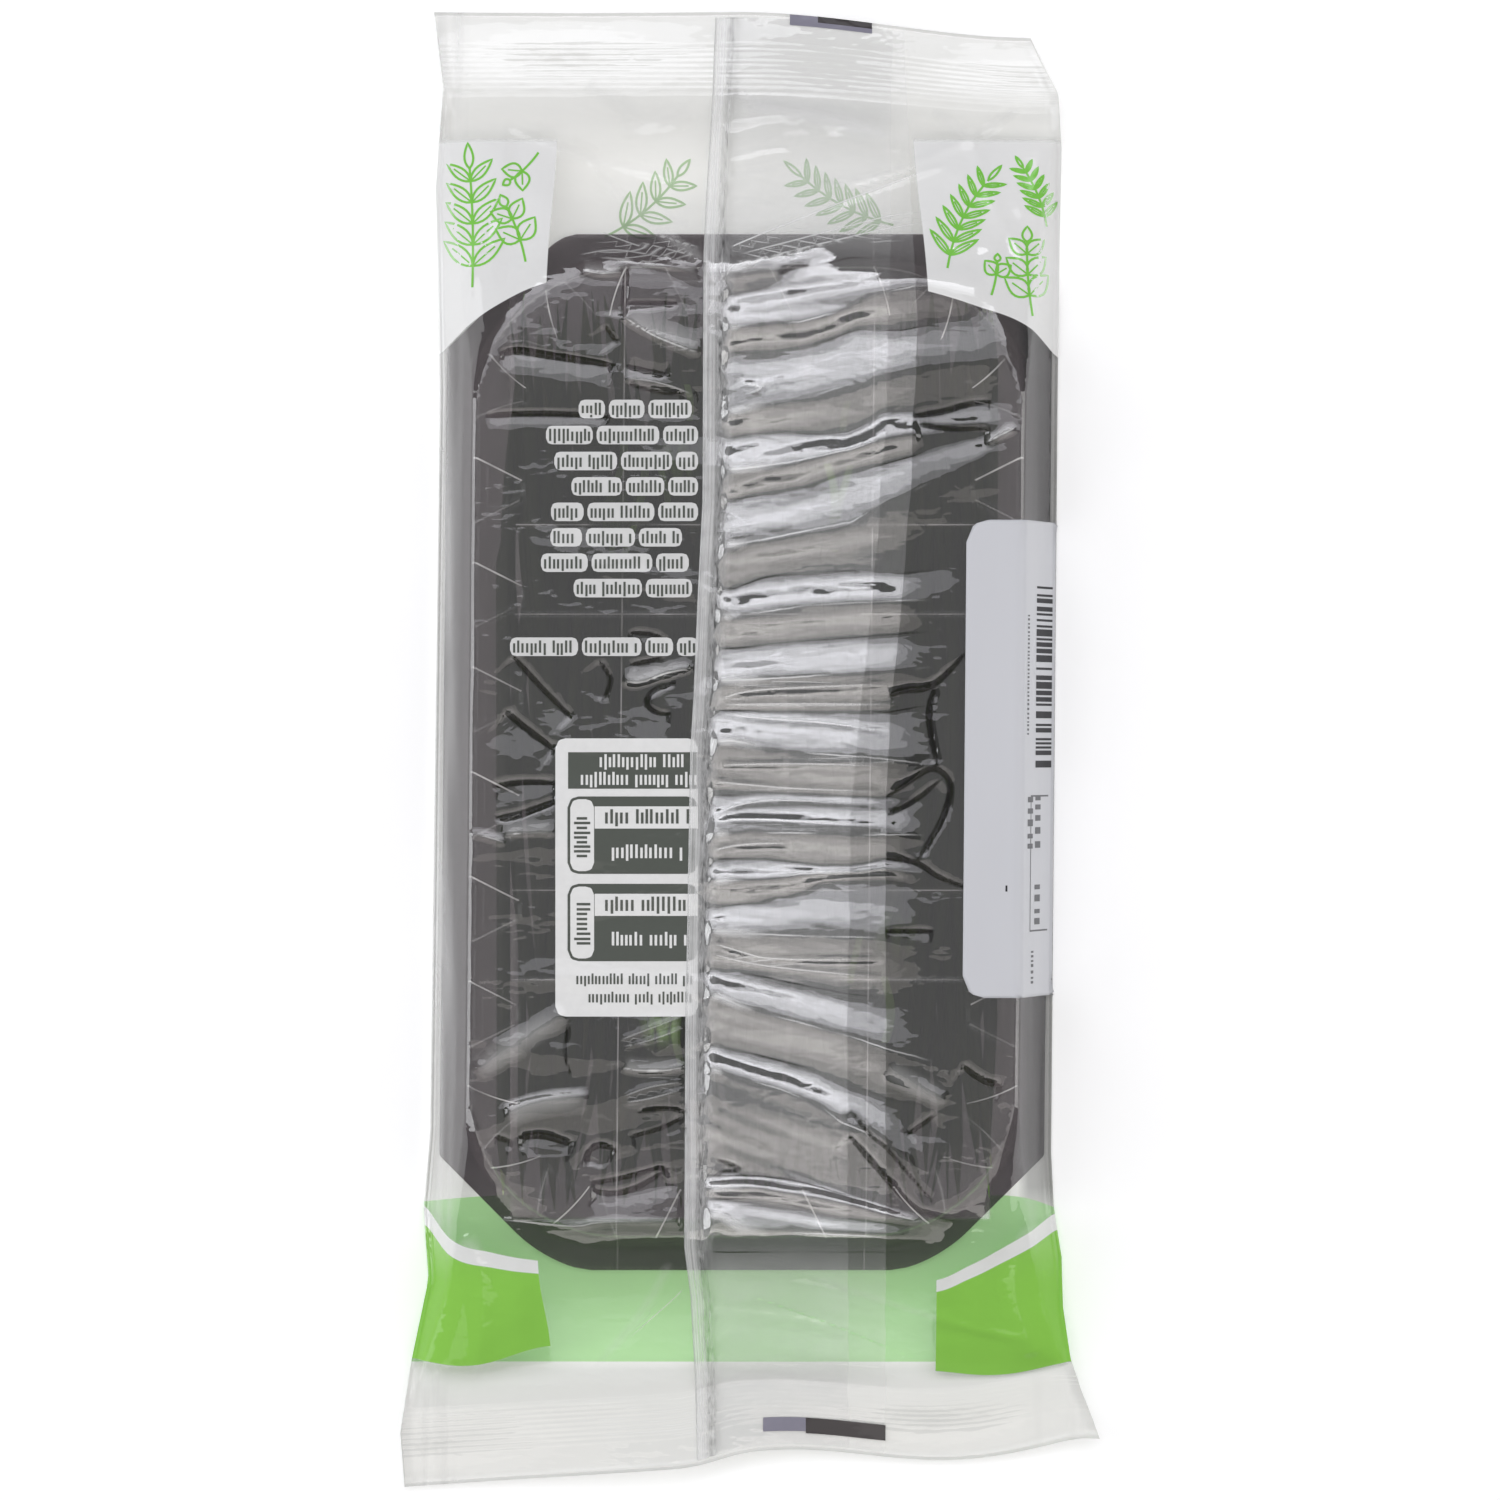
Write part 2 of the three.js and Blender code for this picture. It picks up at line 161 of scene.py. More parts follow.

# Folds in the film: height, width above the line, width below it, and the line's places, in millimetres.
# A fold with a height below 0 is a dent, which also gets a painted dark stroke of shade. A wide fold gets a
# soft band of painted highlight, and a narrow one a thin painted bright line.
FOLDS = [
    (-0.8, 0.8, 4.2, ((-45.1, 71.7), (-42, 72.4), (-37.4, 71.5), (-31, 70.6), (-24.6, 69.5))),
    (-0.55, 0.8, 2.6, ((-47.4, 60.4), (-42, 60.9), (-31.9, 60.8), (-25.5, 60.2))),
    (0.3, 0.8, 0.8, ((-22.8, 67.3), (-16.4, 66.6), (-10, 64.2))),
    (-0.3, 0.77, 6.5, ((-21.9, 66.2), (-16.4, 64.6), (-11.9, 64.4))),
    (-0.5, 0.77, 6.5, ((-22.3, 87.2), (-22.8, 82.1), (-23, 78.5))),
    (0.6, 4.5, 1, ((-23, 78.5), (-18.2, 75.2), (-12.8, 73), (-9.1, 71.7))),
    (-0.5, 0.7, 1.6, ((-21.9, 80.8), (-13.3, 80.8))),
    (-0.45, 2.8, 0.8, ((-22.3, 69.3), (-14.6, 67.7))),
    (0.5, 2.4, 0.9, ((-30.5, 86.9), (-27.4, 86.1), (-23, 86.5))),
    (-0.35, 0.77, 6.5, ((-26.3, 76.8), (-24.1, 73.7))),
    (0.35, 0.9, 0.9, ((-31, 89.6), (-25.5, 90.7), (-20.1, 90.1), (-9.1, 87.6))),
    (0.3, 0.7, 0.7, ((-27.4, 89.1), (-20.1, 88.7), (-9.1, 86.3))),
    (0.35, 0.8, 0.8, ((-20.1, 92), (-8.8, 89.1))),
    (0.3, 0.8, 0.8, ((-17.3, 93.4), (-8.8, 90.9))),
    (-0.5, 0.99, 6.5, ((-42.9, 17), (-37.4, 10.9), (-32.1, 5.7))),
    (-0.65, 1.43, 6.5, ((-44.2, 6.9), (-40.1, 3.6), (-35, -0.2))),
    (-0.5, 1.54, 6.5, ((-46.2, -6.6), (-41.1, -5.7), (-35, -6))),
    (-0.6, 1.4, 0.9, ((-45.6, -12.4), (-41.1, -11.5), (-35, -9.1))),
    (0.45, 2.8, 0.8, ((-44.7, -15.3), (-40.1, -15), (-35, -15))),
    (0.5, 1.2, 1.2, ((-51.1, -15), (-47.4, -15.7), (-44.2, -16.8))),
    (0.65, 2.6, 0.9, ((-22.8, 12.4), (-19.7, 12), (-15.5, 13.9), (-10.6, 14.8))),
    (-0.35, 0.77, 6.5, ((-21.2, 15.5), (-16.1, 16.6))),
    (-0.45, 0.88, 6.5, ((-13.7, 12), (-17.3, 11.1), (-19.2, 8.8), (-17.3, 6.8), (-14.4, 6.4))),
    (-0.35, 0.88, 6.5, ((-21.5, 21.2), (-17.3, 21), (-15, 19.5))),
    (-0.3, 0.77, 6.5, ((-27.2, 16.1), (-25, 12.8), (-26.6, 8.8))),
    (0.55, 3, 2.8, ((-49.6, -58), (-42, -52.9), (-33.2, -47.4))),
    (0.65, 1.6, 3.4, ((-44.2, -65.5), (-38.3, -63.1), (-29.2, -62.4))),
    (-0.35, 0.99, 6.5, ((-46.4, -70.1), (-43.2, -70.8))),
    (-0.65, 1.32, 6.5, ((-41.6, -70.1), (-37.4, -69.5), (-31.9, -71.5))),
    (-0.55, 1.1, 6.5, ((-29.6, -75), (-29.2, -72.3), (-26.8, -71.2), (-24.3, -72.6))),
    (-0.4, 0.88, 6.5, ((-28.6, -78.3), (-23.7, -77.6), (-15.5, -75.4))),
    (-0.55, 1.1, 6.5, ((-28.3, -79.7), (-25.2, -80.5), (-20.1, -79.2), (-14.8, -75.7))),
    (0.28, 0.7, 0.7, ((-23.4, -52.4), (-18.2, -50.4), (-12.2, -48.2))),
    (0.25, 0.6, 0.6, ((-22.8, -53.6), (-18.2, -52.6), (-12.2, -50.4))),
    (0.65, 2.6, 0.8, ((-23, -57.5), (-20.1, -58), (-15, -58), (-11.7, -57.3))),
    (0.28, 0.7, 0.6, ((-22.8, -62.6), (-18.2, -60.8), (-12, -60))),
    (0.28, 0.6, 0.7, ((-22.4, -63.7), (-18.2, -63.1), (-12, -61.3))),
    (-0.4, 0.77, 6.5, ((-20.1, -65.5), (-14.6, -64.6), (-11.5, -65.7))),
    (-0.4, 0.77, 6.5, ((-21.5, -69.9), (-16.4, -68.6), (-12.4, -66.6))),
    (-0.2, 0.66, 6.5, ((-32.7, -48.9), (-33.8, -54.4), (-32.5, -58.6))),
    (0.35, 0.9, 0.9, ((-46.2, -84.9), (-38.3, -85.6), (-31, -86.3), (-27.4, -85.2), (-12.2, -85.4))),
    (-0.6, 1.32, 6.5, ((29.6, 60.4), (35.6, 61.3), (39.2, 62.6), (43.4, 63))),
    (-0.45, 0.99, 6.5, ((30.7, 58.9), (35.6, 58), (43.1, 58.2))),
    (-0.6, 1.21, 6.5, ((25.2, 9.7), (27.4, 10.9), (31.9, 10.9), (35.6, 13.7), (38.7, 17.3))),
    (-0.55, 1.21, 6.5, ((33.4, 11.3), (32.1, 6.9), (32.8, 1.8), (33.9, -2.7))),
    (-0.55, 1.1, 6.5, ((24.6, -8.6), (29.2, -5.5), (32.8, -2.9), (35.6, -4.4), (36.5, -7.3), (34.7, -12.8),
     (31.9, -17.3), (30.3, -20.1))),
    (-0.45, 0.88, 6.5, ((25, -11.7), (30.1, -9.1), (34.1, -5.7))),
    (-0.5, 0.99, 6.5, ((24.6, -19.5), (30.3, -20.1), (33.8, -23), (39.4, -25))),
    (-0.45, 0.88, 6.5, ((24.6, -32.7), (33, -32.8))),
    (0.55, 1.5, 1.1, ((42.9, 55.7), (48.2, 58.4))),
    (0.5, 2.4, 2.4, ((24.6, -57.7), (30.1, -60.6), (35.4, -63.5))),
    (-0.55, 1.32, 6.5, ((38.5, -57.1), (42, -60), (45.4, -60.8))),
    (-0.4, 0.88, 6.5, ((28.6, -69.5), (33.4, -66.1))),
    (-0.55, 0.99, 6.5, ((17.9, -69.7), (21.9, -74.3), (25.5, -78.6), (30.1, -83.4), (36.5, -85.4))),
    (-0.3, 0.66, 6.5, ((18.2, -65.3), (21.9, -69.9), (24.6, -71.7), (28.3, -76.3), (33.2, -81.9))),
    (0.22, 0.6, 0.6, ((-5.5, 9.3), (0, 10.8), (9.1, 11.3), (26.1, 12))),
    (0.22, 0.6, 0.6, ((-5.5, 8.2), (9.1, 8.4), (26.1, 8.2))),
    (0.25, 0.7, 0.7, ((-5.8, 6.6), (1.8, 5.7), (14.6, 4.9), (25.2, 3.1))),
    (0.22, 0.7, 0.7, ((-5.8, -2.7), (9.1, -2.4), (24.6, -2.9))),
    (0.25, 0.8, 0.8, ((-6.4, -5.7), (-1.8, -6.2), (9.1, -7.1), (24.6, -7.5))),
    (0.3, 0.9, 0.9, ((-6.8, -11.9), (-2.7, -10), (2.7, -9.1), (9.1, -9.1), (24.6, -10))),
    (0.3, 0.9, 0.9, ((-6.8, -13), (0, -12.4), (9.1, -13), (24.6, -13.9))),
    (0.25, 0.8, 0.8, ((-6.8, -18.2), (-1.8, -17), (7.3, -16.8))),
    (0.25, 0.8, 0.8, ((-6.4, -35), (-1.8, -36.5), (3.6, -38), (24.6, -37.8))),
    (0.25, 0.8, 0.8, ((-6.8, -36.9), (0, -38.7), (9.1, -39.8), (24.6, -41.2))),
    (-0.3, 0.66, 6.5, ((-6, -74.1), (-0.7, -75.9), (-5.5, -76.3))),
    (-0.35, 0.99, 6.5, ((5.5, 86.3), (7.8, 87.4), (10.6, 87.6))),
    (0.25, 0.8, 0.8, ((-1.8, 66.4), (3.3, 65.5), (-1.5, 64.2))),
    # past the ends of the tray
    (0.6, 0.8, 0.9, ((-3.5, 91), (-2.4, 91.6), (14, 98.5), (29.4, 105.1), (36, 108))),
    (0.4, 1.4, 1.4, ((-4.4, 114.4), (4.4, 116), (20, 118))),
    (0.4, 1.6, 1.6, ((-4.4, 108.2), (2, 109.6), (8.6, 110.2))),
    (0.35, 1.4, 1.4, ((-4.4, 104.4), (2, 105.6), (6, 105.4))),
    (0.35, 1.4, 1.4, ((-4.4, 100.2), (1, 100), (6, 98.6))),
    (0.5, 1.8, 1.8, ((-10, 95), (-22, 98), (-30, 109))),
    (0.5, 2, 2, ((10, 102), (28, 106), (47, 118))),
    (0.4, 2, 2, ((-12, 104), (-28, 107), (-48, 116))),
    (0.6, 2.6, 2.6, ((52, 88), (44, 98), (40, 116))),
    (0.6, 2.6, 2.6, ((-52, 86), (-46, 98), (-44, 117))),
    (0.8, 3, 3, ((-52, -88), (-48, -98), (-50, -117))),
    (0.8, 3, 3, ((52, -86), (47, -98), (52, -116))),
    (0.4, 1.6, 1.6, ((8, -95), (30, -103), (52, -112))),
    (0.4, 2, 2, ((-14, -92), (-20, -104), (-30, -116))),
    (0.4, 0.7, 0.7, ((-3.6, 87.6), (10.9, 91.2), (25.6, 94.9), (33, 96))),
    (0.35, 0.6, 0.6, ((-3, 89.4), (12, 93.4), (25.6, 97.3), (32, 98))),
    (0.6, 1.6, 1.8, ((-21.3, 96.7), (-17.6, 94.9), (-14, 92.5), (-9.1, 89.1), (-8, 88.5))),
    (0.4, 0.7, 0.7, ((-26.2, 88.8), (-17.6, 87.6), (-9.1, 87.3))),
    (0.4, 0.7, 0.7, ((-27, 94), (-23.7, 92.5), (-16.4, 90), (-9.1, 87.6))),
    (0.5, 3, 3, ((-30, 122), (-28.6, 121), (-21.3, 116.8), (-17, 115))),
    (0.45, 3.5, 3.5, ((-25, 112.6), (-14, 115.6), (-10, 117))),
    (0.6, 5, 5, ((-4, 118), (8, 117), (22, 114), (29, 112))),
    (0.55, 3, 3, ((-5, 121), (2.4, 118), (6, 117))),
    (0.5, 2.4, 2.4, ((33, 119), (34.6, 118), (39.5, 113.8), (41, 112))),
    (0.5, 2, 2, ((42, 115), (47.4, 119.2), (49, 121))),
    (-0.3, 0.6, 0.6, ((1.3, -100.6), (16.3, -107.1), (27.4, -112.4), (30, -113.5))),
    (0.45, 0.9, 0.9, ((-12, -98), (-13.7, -100), (-18.3, -104.5), (-22.2, -108.4))),
    (-0.2, 0.5, 0.5, ((3.3, -116.9), (14, -116), (23.8, -115.9))),
]

# The edges of the print on the back, in millimetres: its inner edges on the left and right, as distance
# along the pack and side, then the curves that end it, as places across and along.
PRINT_LEFT = [(-150, -35), (-108.6, -36.3), (-93.8, -38.4), (0, -36), (85, -36.8), (111, -35.2), (150, -35)]
PRINT_RIGHT = [(-150, 33.8), (-90, 33.8), (0, 33), (83, 32.2), (111, 29.8), (150, 29)]
WHITE_START = [
    (-70, 68), (-57, 72.4), (-55.5, 73.6), (-46.4, 80.2), (-36.7, 84.6), (0, 90), (32.8, 82.8),
    (41.4, 80.2), (49.6, 77.2), (57.3, 71.2), (70, 62),
]
GREEN_TOP = [
    (-70, -80), (-60, -86.6), (-54, -92.4), (-47, -94), (-38.5, -95), (0, -97), (34, -98.4), (40, -96),
    (47, -92.6), (57, -87.6), (70, -82),
]
GREEN_BOTTOM = [
    (-70, -110.6), (-61.5, -111.3), (-51, -112.3), (-36.3, -108.6), (0, -110), (33.8, -113.4),
    (45.6, -114.2), (58.4, -111.8), (70, -110),
]
WHITE_END = 111.2 * MM

# The green band on the inside of the face: its curved top and its bottom.
INNER_GREEN_TOP = [(-70, -84), (-52, -82), (-40, -81.4), (40, -81.6), (50, -82), (58, -84.4), (70, -86)]
INNER_GREEN_BOTTOM = -111.9 * MM

# Where the flutes stand, as distance round the tray's base from the middle of its long side.
FLUTES = np.array([9.5, 28.5, 47.5, 66.5, 82, 97.3, 116.2]) * MM

# The steps in the tray's base: the sides of its raised middle and the ends of its sunk shelves, as
# distances from the tray's middle.
STEP_SIDE = 22.6 * MM
SHELF_ENDS = (25 * MM, 41.2 * MM)

# Where chives press against the tray's base and show through it, in millimetres, and how strongly.
PRESSED = [(14.6, 49.3, 0.65), (-15.7, -49.8, 1), (25.5, -33, 0.35), (-12.8, 53.1, 0.6), (-23.7, 42.9, 0.4)]


def length(name, description, default):
    """A size that the user can change."""
    return bpy.props.FloatProperty(name=name, description=description, default=default * MM, unit="LENGTH",
                                   min=0.0, precision=5)


def place(name, description, default):
    """A place along an axis that the user can change."""
    return bpy.props.FloatProperty(name=name, description=description, default=default * MM, unit="LENGTH",
                                   precision=5)


def ratio(name, description, default):
    """A ratio that the user can change."""
    return bpy.props.FloatProperty(name=name, description=description, default=default, min=0.0)


def number(name, description, default):
    """A count that the user can change."""
    return bpy.props.IntProperty(name=name, description=description, default=default, min=1)


def linear(red, green, blue):
    """A colour given as it shows on screen, from 0 to 255, as the shader reads it."""
    shown = np.array((red, green, blue)) / 255
    return tuple(np.where(shown > 0.04045, ((shown + 0.055) / 1.055) ** 2.4, shown / 12.92))


def colour(name, description, default):
    """A colour that the user can change."""
    return bpy.props.FloatVectorProperty(name=name, description=description, default=linear(*default),
                                         size=3, subtype="COLOR", min=0.0, max=1.0)


class PackSizes(bpy.types.PropertyGroup):
    """The sizes of the pack, in its own frame."""
    seal_length: length("Seal length", "Length of each flat end seal", 15)
    seal_height: length("Seal height", "Height of the end seals where the film closes", 4.6)
    seal_tip_height: length("Seal tip height", "Height of the cut ends", 3.4)
    crimp_pitch: length("Crimp pitch", "Distance between the ridges in the end seals", 1.0)
    crimp_depth: length("Crimp depth", "Height of the ridges in the end seals", 0.1)
    tray_length: length("Tray length", "Length over the tray's rim", 188.5)
    tray_width: length("Tray width", "Width over the tray's rim", 112)
    tray_depth: length("Tray depth", "Height of the film over the upturned tray", 22)
    tray_wall: length("Tray wall inset", "How far the base is in from the rim", 6)
    tray_corner: length("Base corner", "Radius of the corners of the tray's base", 27)
    tray_chamfer: length("Rim chamfer", "Length cut off each corner of the tray's rim", 21)
    tray_sheet: length("Tray sheet", "Thickness of the tray's plastic", 0.4)
    flute_length: length("Flute length", "How far the flutes run in over the base", 8.6)
    fin_band: length("Fin band", "Width of the pressed band at the fin's root", 3.7)
    fin_width: length("Fin width", "Width of the fin, from its fold to its free edge", 36)
    pleat_slope: ratio("Pleat slope", "Rise over run of the pleats' sides", 0.25)
    gather_height: length("Gather height", "Height of the small pillows of film along the seam", 0.6)
    chive_length: length("Chive length", "Length of the cut chives", 168)
    chive_width: length("Chive width", "Thickness of a chive", 2.4)
    chive_count: number("Chives", "Number of chives in the tray", 170)
    label_length: length("Label length", "Length of the price label along the pack", 86.5)
    label_start: place("Label edge", "Where the price label starts on the back", 38.8)
    label_y: place("Label middle", "Middle of the price label along the pack", -1.6)


class PackColours(bpy.types.PropertyGroup):
    """The colours of the pack, as they show."""
    white_ink: colour("White print", "White print on the film", (232, 232, 231))
    green_ink: colour("Green print", "Green print on the film", (141, 203, 82))
    inner_white: colour("Inner white", "White print seen from inside the pack", (248, 248, 244))
    inner_green: colour("Inner green", "Green print seen from inside the pack", (172, 222, 152))
    sprig_green: colour("Sprig green", "Line drawing on the white print", (126, 205, 76))
    text_grey: colour("Dark print", "Bars of the printed panel", (74, 79, 72))
    tray_smoke: colour("Tray", "Dark smoky plastic", (25, 21, 23))
    chive_green: colour("Chive green", "Leaf colour of the chives", (116, 158, 58))
    chive_pale: colour("Chive pale", "Colour of the cut ends", (176, 196, 122))
    label_paper: colour("Label paper", "Coated paper of the price label", (206, 207, 212))
    label_ink: colour("Label ink", "Bars printed on the price label", (44, 44, 48))
    mark_black: colour("Mark black", "Dark half of the register marks", (34, 26, 30))
    mark_grey: colour("Mark grey", "Grey half of the register marks", (128, 126, 142))
    floor_white: colour("Floor", "The plain surface under the pack", (250, 250, 250))


def smooth(value, start, end):
    """0 up to start, 1 from end on, and a smooth step between them."""
    share = np.clip((value - start) / (end - start), 0, 1)
    return share * share * (3 - 2 * share)


def mix(first, second, share):
    """The value that lies at a share of the way from first to second."""
    return first + (second - first) * share


def soft_ramp(value, softness):
    """0 below zero and the value itself above, with a round corner between them."""
    corner = np.clip(value + softness, 0, None) ** 2 / (4 * softness)
    return np.where(value > softness, value, corner)


def unevenness(x, y, across, along, layer):
    """Soft noise from about -1 to 1, of a given grain across and along the pack."""
    return np.array([
        noise.noise(Vector((px / across, py / along, layer))) for px, py in zip(np.ravel(x), np.ravel(y))
    ]).reshape(np.shape(x))


def rounded(points):
    """A bent line with its corners rounded off."""
    line = np.array(points) * MM
    for _ in range(2):
        first, second = line[:-1], line[1:]
        inner = np.stack([mix(first, second, 0.25), mix(first, second, 0.75)], axis=1).reshape(-1, 2)
        line = np.concatenate([line[:1], inner, line[-1:]])
    return line


def fold_places(x, y, fold, spare=0.0):
    """The places near a fold, their distance from its line, their side of it and how far along they are."""
    line = rounded(fold[3])
    reach = max(fold[1], fold[2]) * MM + spare
    low, high = line.min(axis=0) - reach, line.max(axis=0) + reach
    near = (x > low[0]) & (x < high[0]) & (y > low[1]) & (y < high[1])
    px, py = x[near], y[near]
    nearest, side, at = np.full(px.shape, 1.0), np.ones(px.shape), np.zeros(px.shape)
    for index, (start, run) in enumerate(zip(line[:-1], np.diff(line, axis=0))):
        share = np.clip(((px - start[0]) * run[0] + (py - start[1]) * run[1]) / (run @ run), 0, 1)
        off_x, off_y = px - start[0] - share * run[0], py - start[1] - share * run[1]
        distance = np.hypot(off_x, off_y)
        closer = distance < nearest
        nearest = np.where(closer, distance, nearest)
        side = np.where(closer, np.sign(run[0] * off_y - run[1] * off_x), side)
        at = np.where(closer, (index + share) / (len(line) - 1), at)
    return near, nearest, side, at


def fold_rise(x, y, fold):
    """Height of one fold: a bent roof along its line, as wide as the fold says on each side."""
    total = np.zeros(np.shape(x))
    near, nearest, side, at = fold_places(x, y, fold)
    height, above, below = (size * MM for size in fold[:3])
    roof = np.clip(1 - nearest / np.where(side > 0, above, below), 0, 1) ** 1.4
    total[near] = height * roof * smooth(at, 0, 0.08) * (1 - smooth(at, 0.86, 1))
    return total


class Gathers:
    """Pillows of film between the places where the seam pinches it: random, but the same each run."""

    def __init__(self, seed, pitch, height, reach):
        draw = np.random.default_rng(seed)
        count = int(260 * MM / pitch)
        self.pinches = -130 * MM + np.cumsum(pitch * draw.uniform(0.55, 1.5, count))
        self.heights = height * draw.uniform(0.4, 1, count)
        self.reaches = reach * draw.uniform(0.45, 1.3, count)
        self.usual = pitch

    def rise(self, start, away):
        """Height at a distance away from the seam, on the flow line that leaves the seam at start."""
        index = np.clip(np.searchsorted(self.pinches, start) - 1, 0, len(self.pinches) - 2)
        width = self.pinches[index + 1] - self.pinches[index]
        share = np.clip((start - self.pinches[index]) / width, 0, 1)
        roundness = mix(0.55, 1.3, np.clip(away / (25 * MM), 0, 1))
        bulge = (4 * share * (1 - share)) ** roundness
        fade = 1 - smooth(away / self.reaches[index], 0.35, 1)
        return self.heights[index] * np.sqrt(width / self.usual) * bulge * fade


class PackForm:
    """The form of the film, for arrays of places across (x) and along (y) the pack."""

    def __init__(self, sizes):
        low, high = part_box("bag")
        self.sizes = sizes
        self.half_length = (high.y - low.y) / 2
        self.seal_start = self.half_length - sizes.seal_length
        self.base_x = sizes.tray_width / 2 - sizes.tray_wall
        self.base_y = sizes.tray_length / 2 - sizes.tray_wall
        height = sizes.gather_height
        self.right_gathers = [
            Gathers(3, 6.5 * MM, height, 52 * MM),
            Gathers(8, 2.8 * MM, height * 0.3, 16 * MM),
        ]
        self.left_gathers = [
            Gathers(21, 7.5 * MM, height, 24 * MM),
            Gathers(5, 3.1 * MM, height * 0.5, 10 * MM),
        ]
        self.fine_gathers = [
            Gathers(51, 1.8 * MM, 0.06 * MM, 26 * MM),
            Gathers(57, 3.2 * MM, 0.13 * MM, 44 * MM),
        ]
        self.fin_gathers = [Gathers(34, 4.4 * MM, height * 0.35, 50 * MM)]

    def left(self, y):
        """Side to side place of the pack's left edge."""
        return np.interp(y, *LEFT_EDGE.T)

    def right(self, y):
        """Side to side place of the pack's right edge."""
        return np.interp(y, *RIGHT_EDGE.T)

    def seam(self, y):
        """Side to side place of the seam's fold."""
        return np.interp(y, *SEAM.T)

    def middle(self, y):
        """Side to side place of the tray's middle line, which leans a little."""
        return TRAY_MIDDLE + TRAY_LEAN * y

    def foot(self, y, side):
        """Where the film comes down at the tray's long walls, as a distance from the tray's middle line."""
        edge = np.where(side > 0, self.right(y), self.left(y))
        return np.abs(edge - self.middle(y)) - 0.8 * MM

    def end_share(self, y, before=2 * MM):
        """0 along the tray and 1 at an end seal."""
        return smooth(np.abs(y), self.sizes.tray_length / 2 - before, self.seal_start)

    def seal_middle(self, x, y):
        """Height of the middle of the film where its two sides lie together."""
        to_tip = smooth(np.abs(y), self.seal_start, self.half_length)
        wave = 1.7 * MM * np.sin(x / (15 * MM) + np.where(y > 0, 0.6, 2.4)) * to_tip
        rise = mix(1.3 * MM, self.sizes.seal_height, self.end_share(y))
        return rise + (self.sizes.seal_tip_height - self.sizes.seal_height) * to_tip + wave

    def crimp(self, x, y):
        """The ridges pressed into the end seals, deeper in some places than in others."""
        into = np.abs(y) - self.seal_start
        band = smooth(into, 0.2 * MM, 0.9 * MM) * (1 - smooth(into, 9 * MM, 10 * MM))
        press = 0.65 + 0.5 * unevenness(x, y, 16 * MM, 40 * MM, 2.5)
        return self.sizes.crimp_depth * band * press * np.cos(2 * np.pi * into / self.sizes.crimp_pitch)

    def drop_share(self, x, y):
        """0 over the tray's base, 1 at the film's edges and end seals: a flat facet for each direction."""
        side = np.sign(x - self.middle(y))
        corner = self.sizes.tray_corner
        across = np.abs(x - self.middle(y)) - (self.base_x - corner)
        along = np.abs(y + TRAY_DOWN) - (self.base_y - corner)
        outer_x = self.foot(y, side) - (self.base_x - corner)
        outer_y = self.seal_start - (self.base_y - corner)
        share = np.full(np.shape(x), -np.inf)
        for angle in np.linspace(0, np.pi / 2, 9):
            reach = across * np.cos(angle) + along * np.sin(angle) - corner
            full = outer_x * np.cos(angle) + outer_y * np.sin(angle) - corner
            share = np.maximum(share, reach / full)
        return np.minimum(soft_ramp(share, 0.07), 1)

    def flow_start(self, x, y):
        """Where the flow line through each place leaves the seam, and the distance from the seam."""
        away = x - self.seam(y)
        start = np.array(y, float)
        for _ in range(5):
            right = np.interp(start / MM, *RIGHT_FLOW.T)
            left = np.interp(start / MM, *LEFT_FLOW.T)
            start = y - np.where(away > 0, right, left) * np.abs(away)
        return start, away

    def calm(self, x, y):
        """0 where the film is flat: under the label, in a seal and down the long walls. 1 elsewhere."""
        sizes = self.sizes
        half = sizes.label_length / 2
        near_label = smooth(x, sizes.label_start - 5 * MM, sizes.label_start + 1 * MM)
        near_label *= 1 - smooth(np.abs(y - sizes.label_y), half, half + 7 * MM)
        walls = smooth(np.abs(x - self.middle(y)), self.base_x - 4 * MM, self.base_x + 2 * MM)
        walls *= 1 - self.end_share(y, 30 * MM)
        seals = smooth(np.abs(y), self.seal_start - 5 * MM, self.seal_start)
        return (1 - near_label) * (1 - walls) * (1 - seals)

    def pleats(self, x, y):
        """The deep pleats on the right of the seam: flat slopes between a crest and a valley, in turn."""
        flat_x, flat_y = np.ravel(x), np.ravel(y)
        lines = np.array([np.interp(flat_x, *(np.array(line).T * MM)) for line in PLEATS])
        gaps = lines[:-1] - lines[1:]
        heights = np.zeros_like(lines)
        turns = np.where(np.arange(1, len(lines) - 1) % 2, -0.25, 0.25)[:, None]
        heights[1:-1] = turns * self.sizes.pleat_slope * (gaps[:-1] + gaps[1:])
        heights = np.clip(heights, -0.8 * MM, 0.8 * MM)
        passed = np.sum(lines > flat_y, axis=0)
        first, second = np.clip(passed - 1, 0, None), np.clip(passed, None, len(lines) - 1)
        here = np.arange(flat_x.size)
        gap = np.maximum(lines[first, here] - lines[second, here], 0.01 * MM)
        share = np.clip((lines[first, here] - flat_y) / gap, 0, 1)
        rise = mix(heights[first, here], heights[second, here], mix(share, smooth(share, 0, 1), 0.7))
        away = flat_x - self.seam(flat_y)
        upper = smooth(flat_y, 22 * MM, 45 * MM)
        calmer = mix(0.85, 0.3, upper) * smooth(flat_x, 25 * MM, 32 * MM)
        rise *= smooth(away, BAND_END, LOOSE_START) * (1 - calmer)
        return (rise * (1 - smooth(flat_x, 41 * MM, 49 * MM))).reshape(np.shape(x))

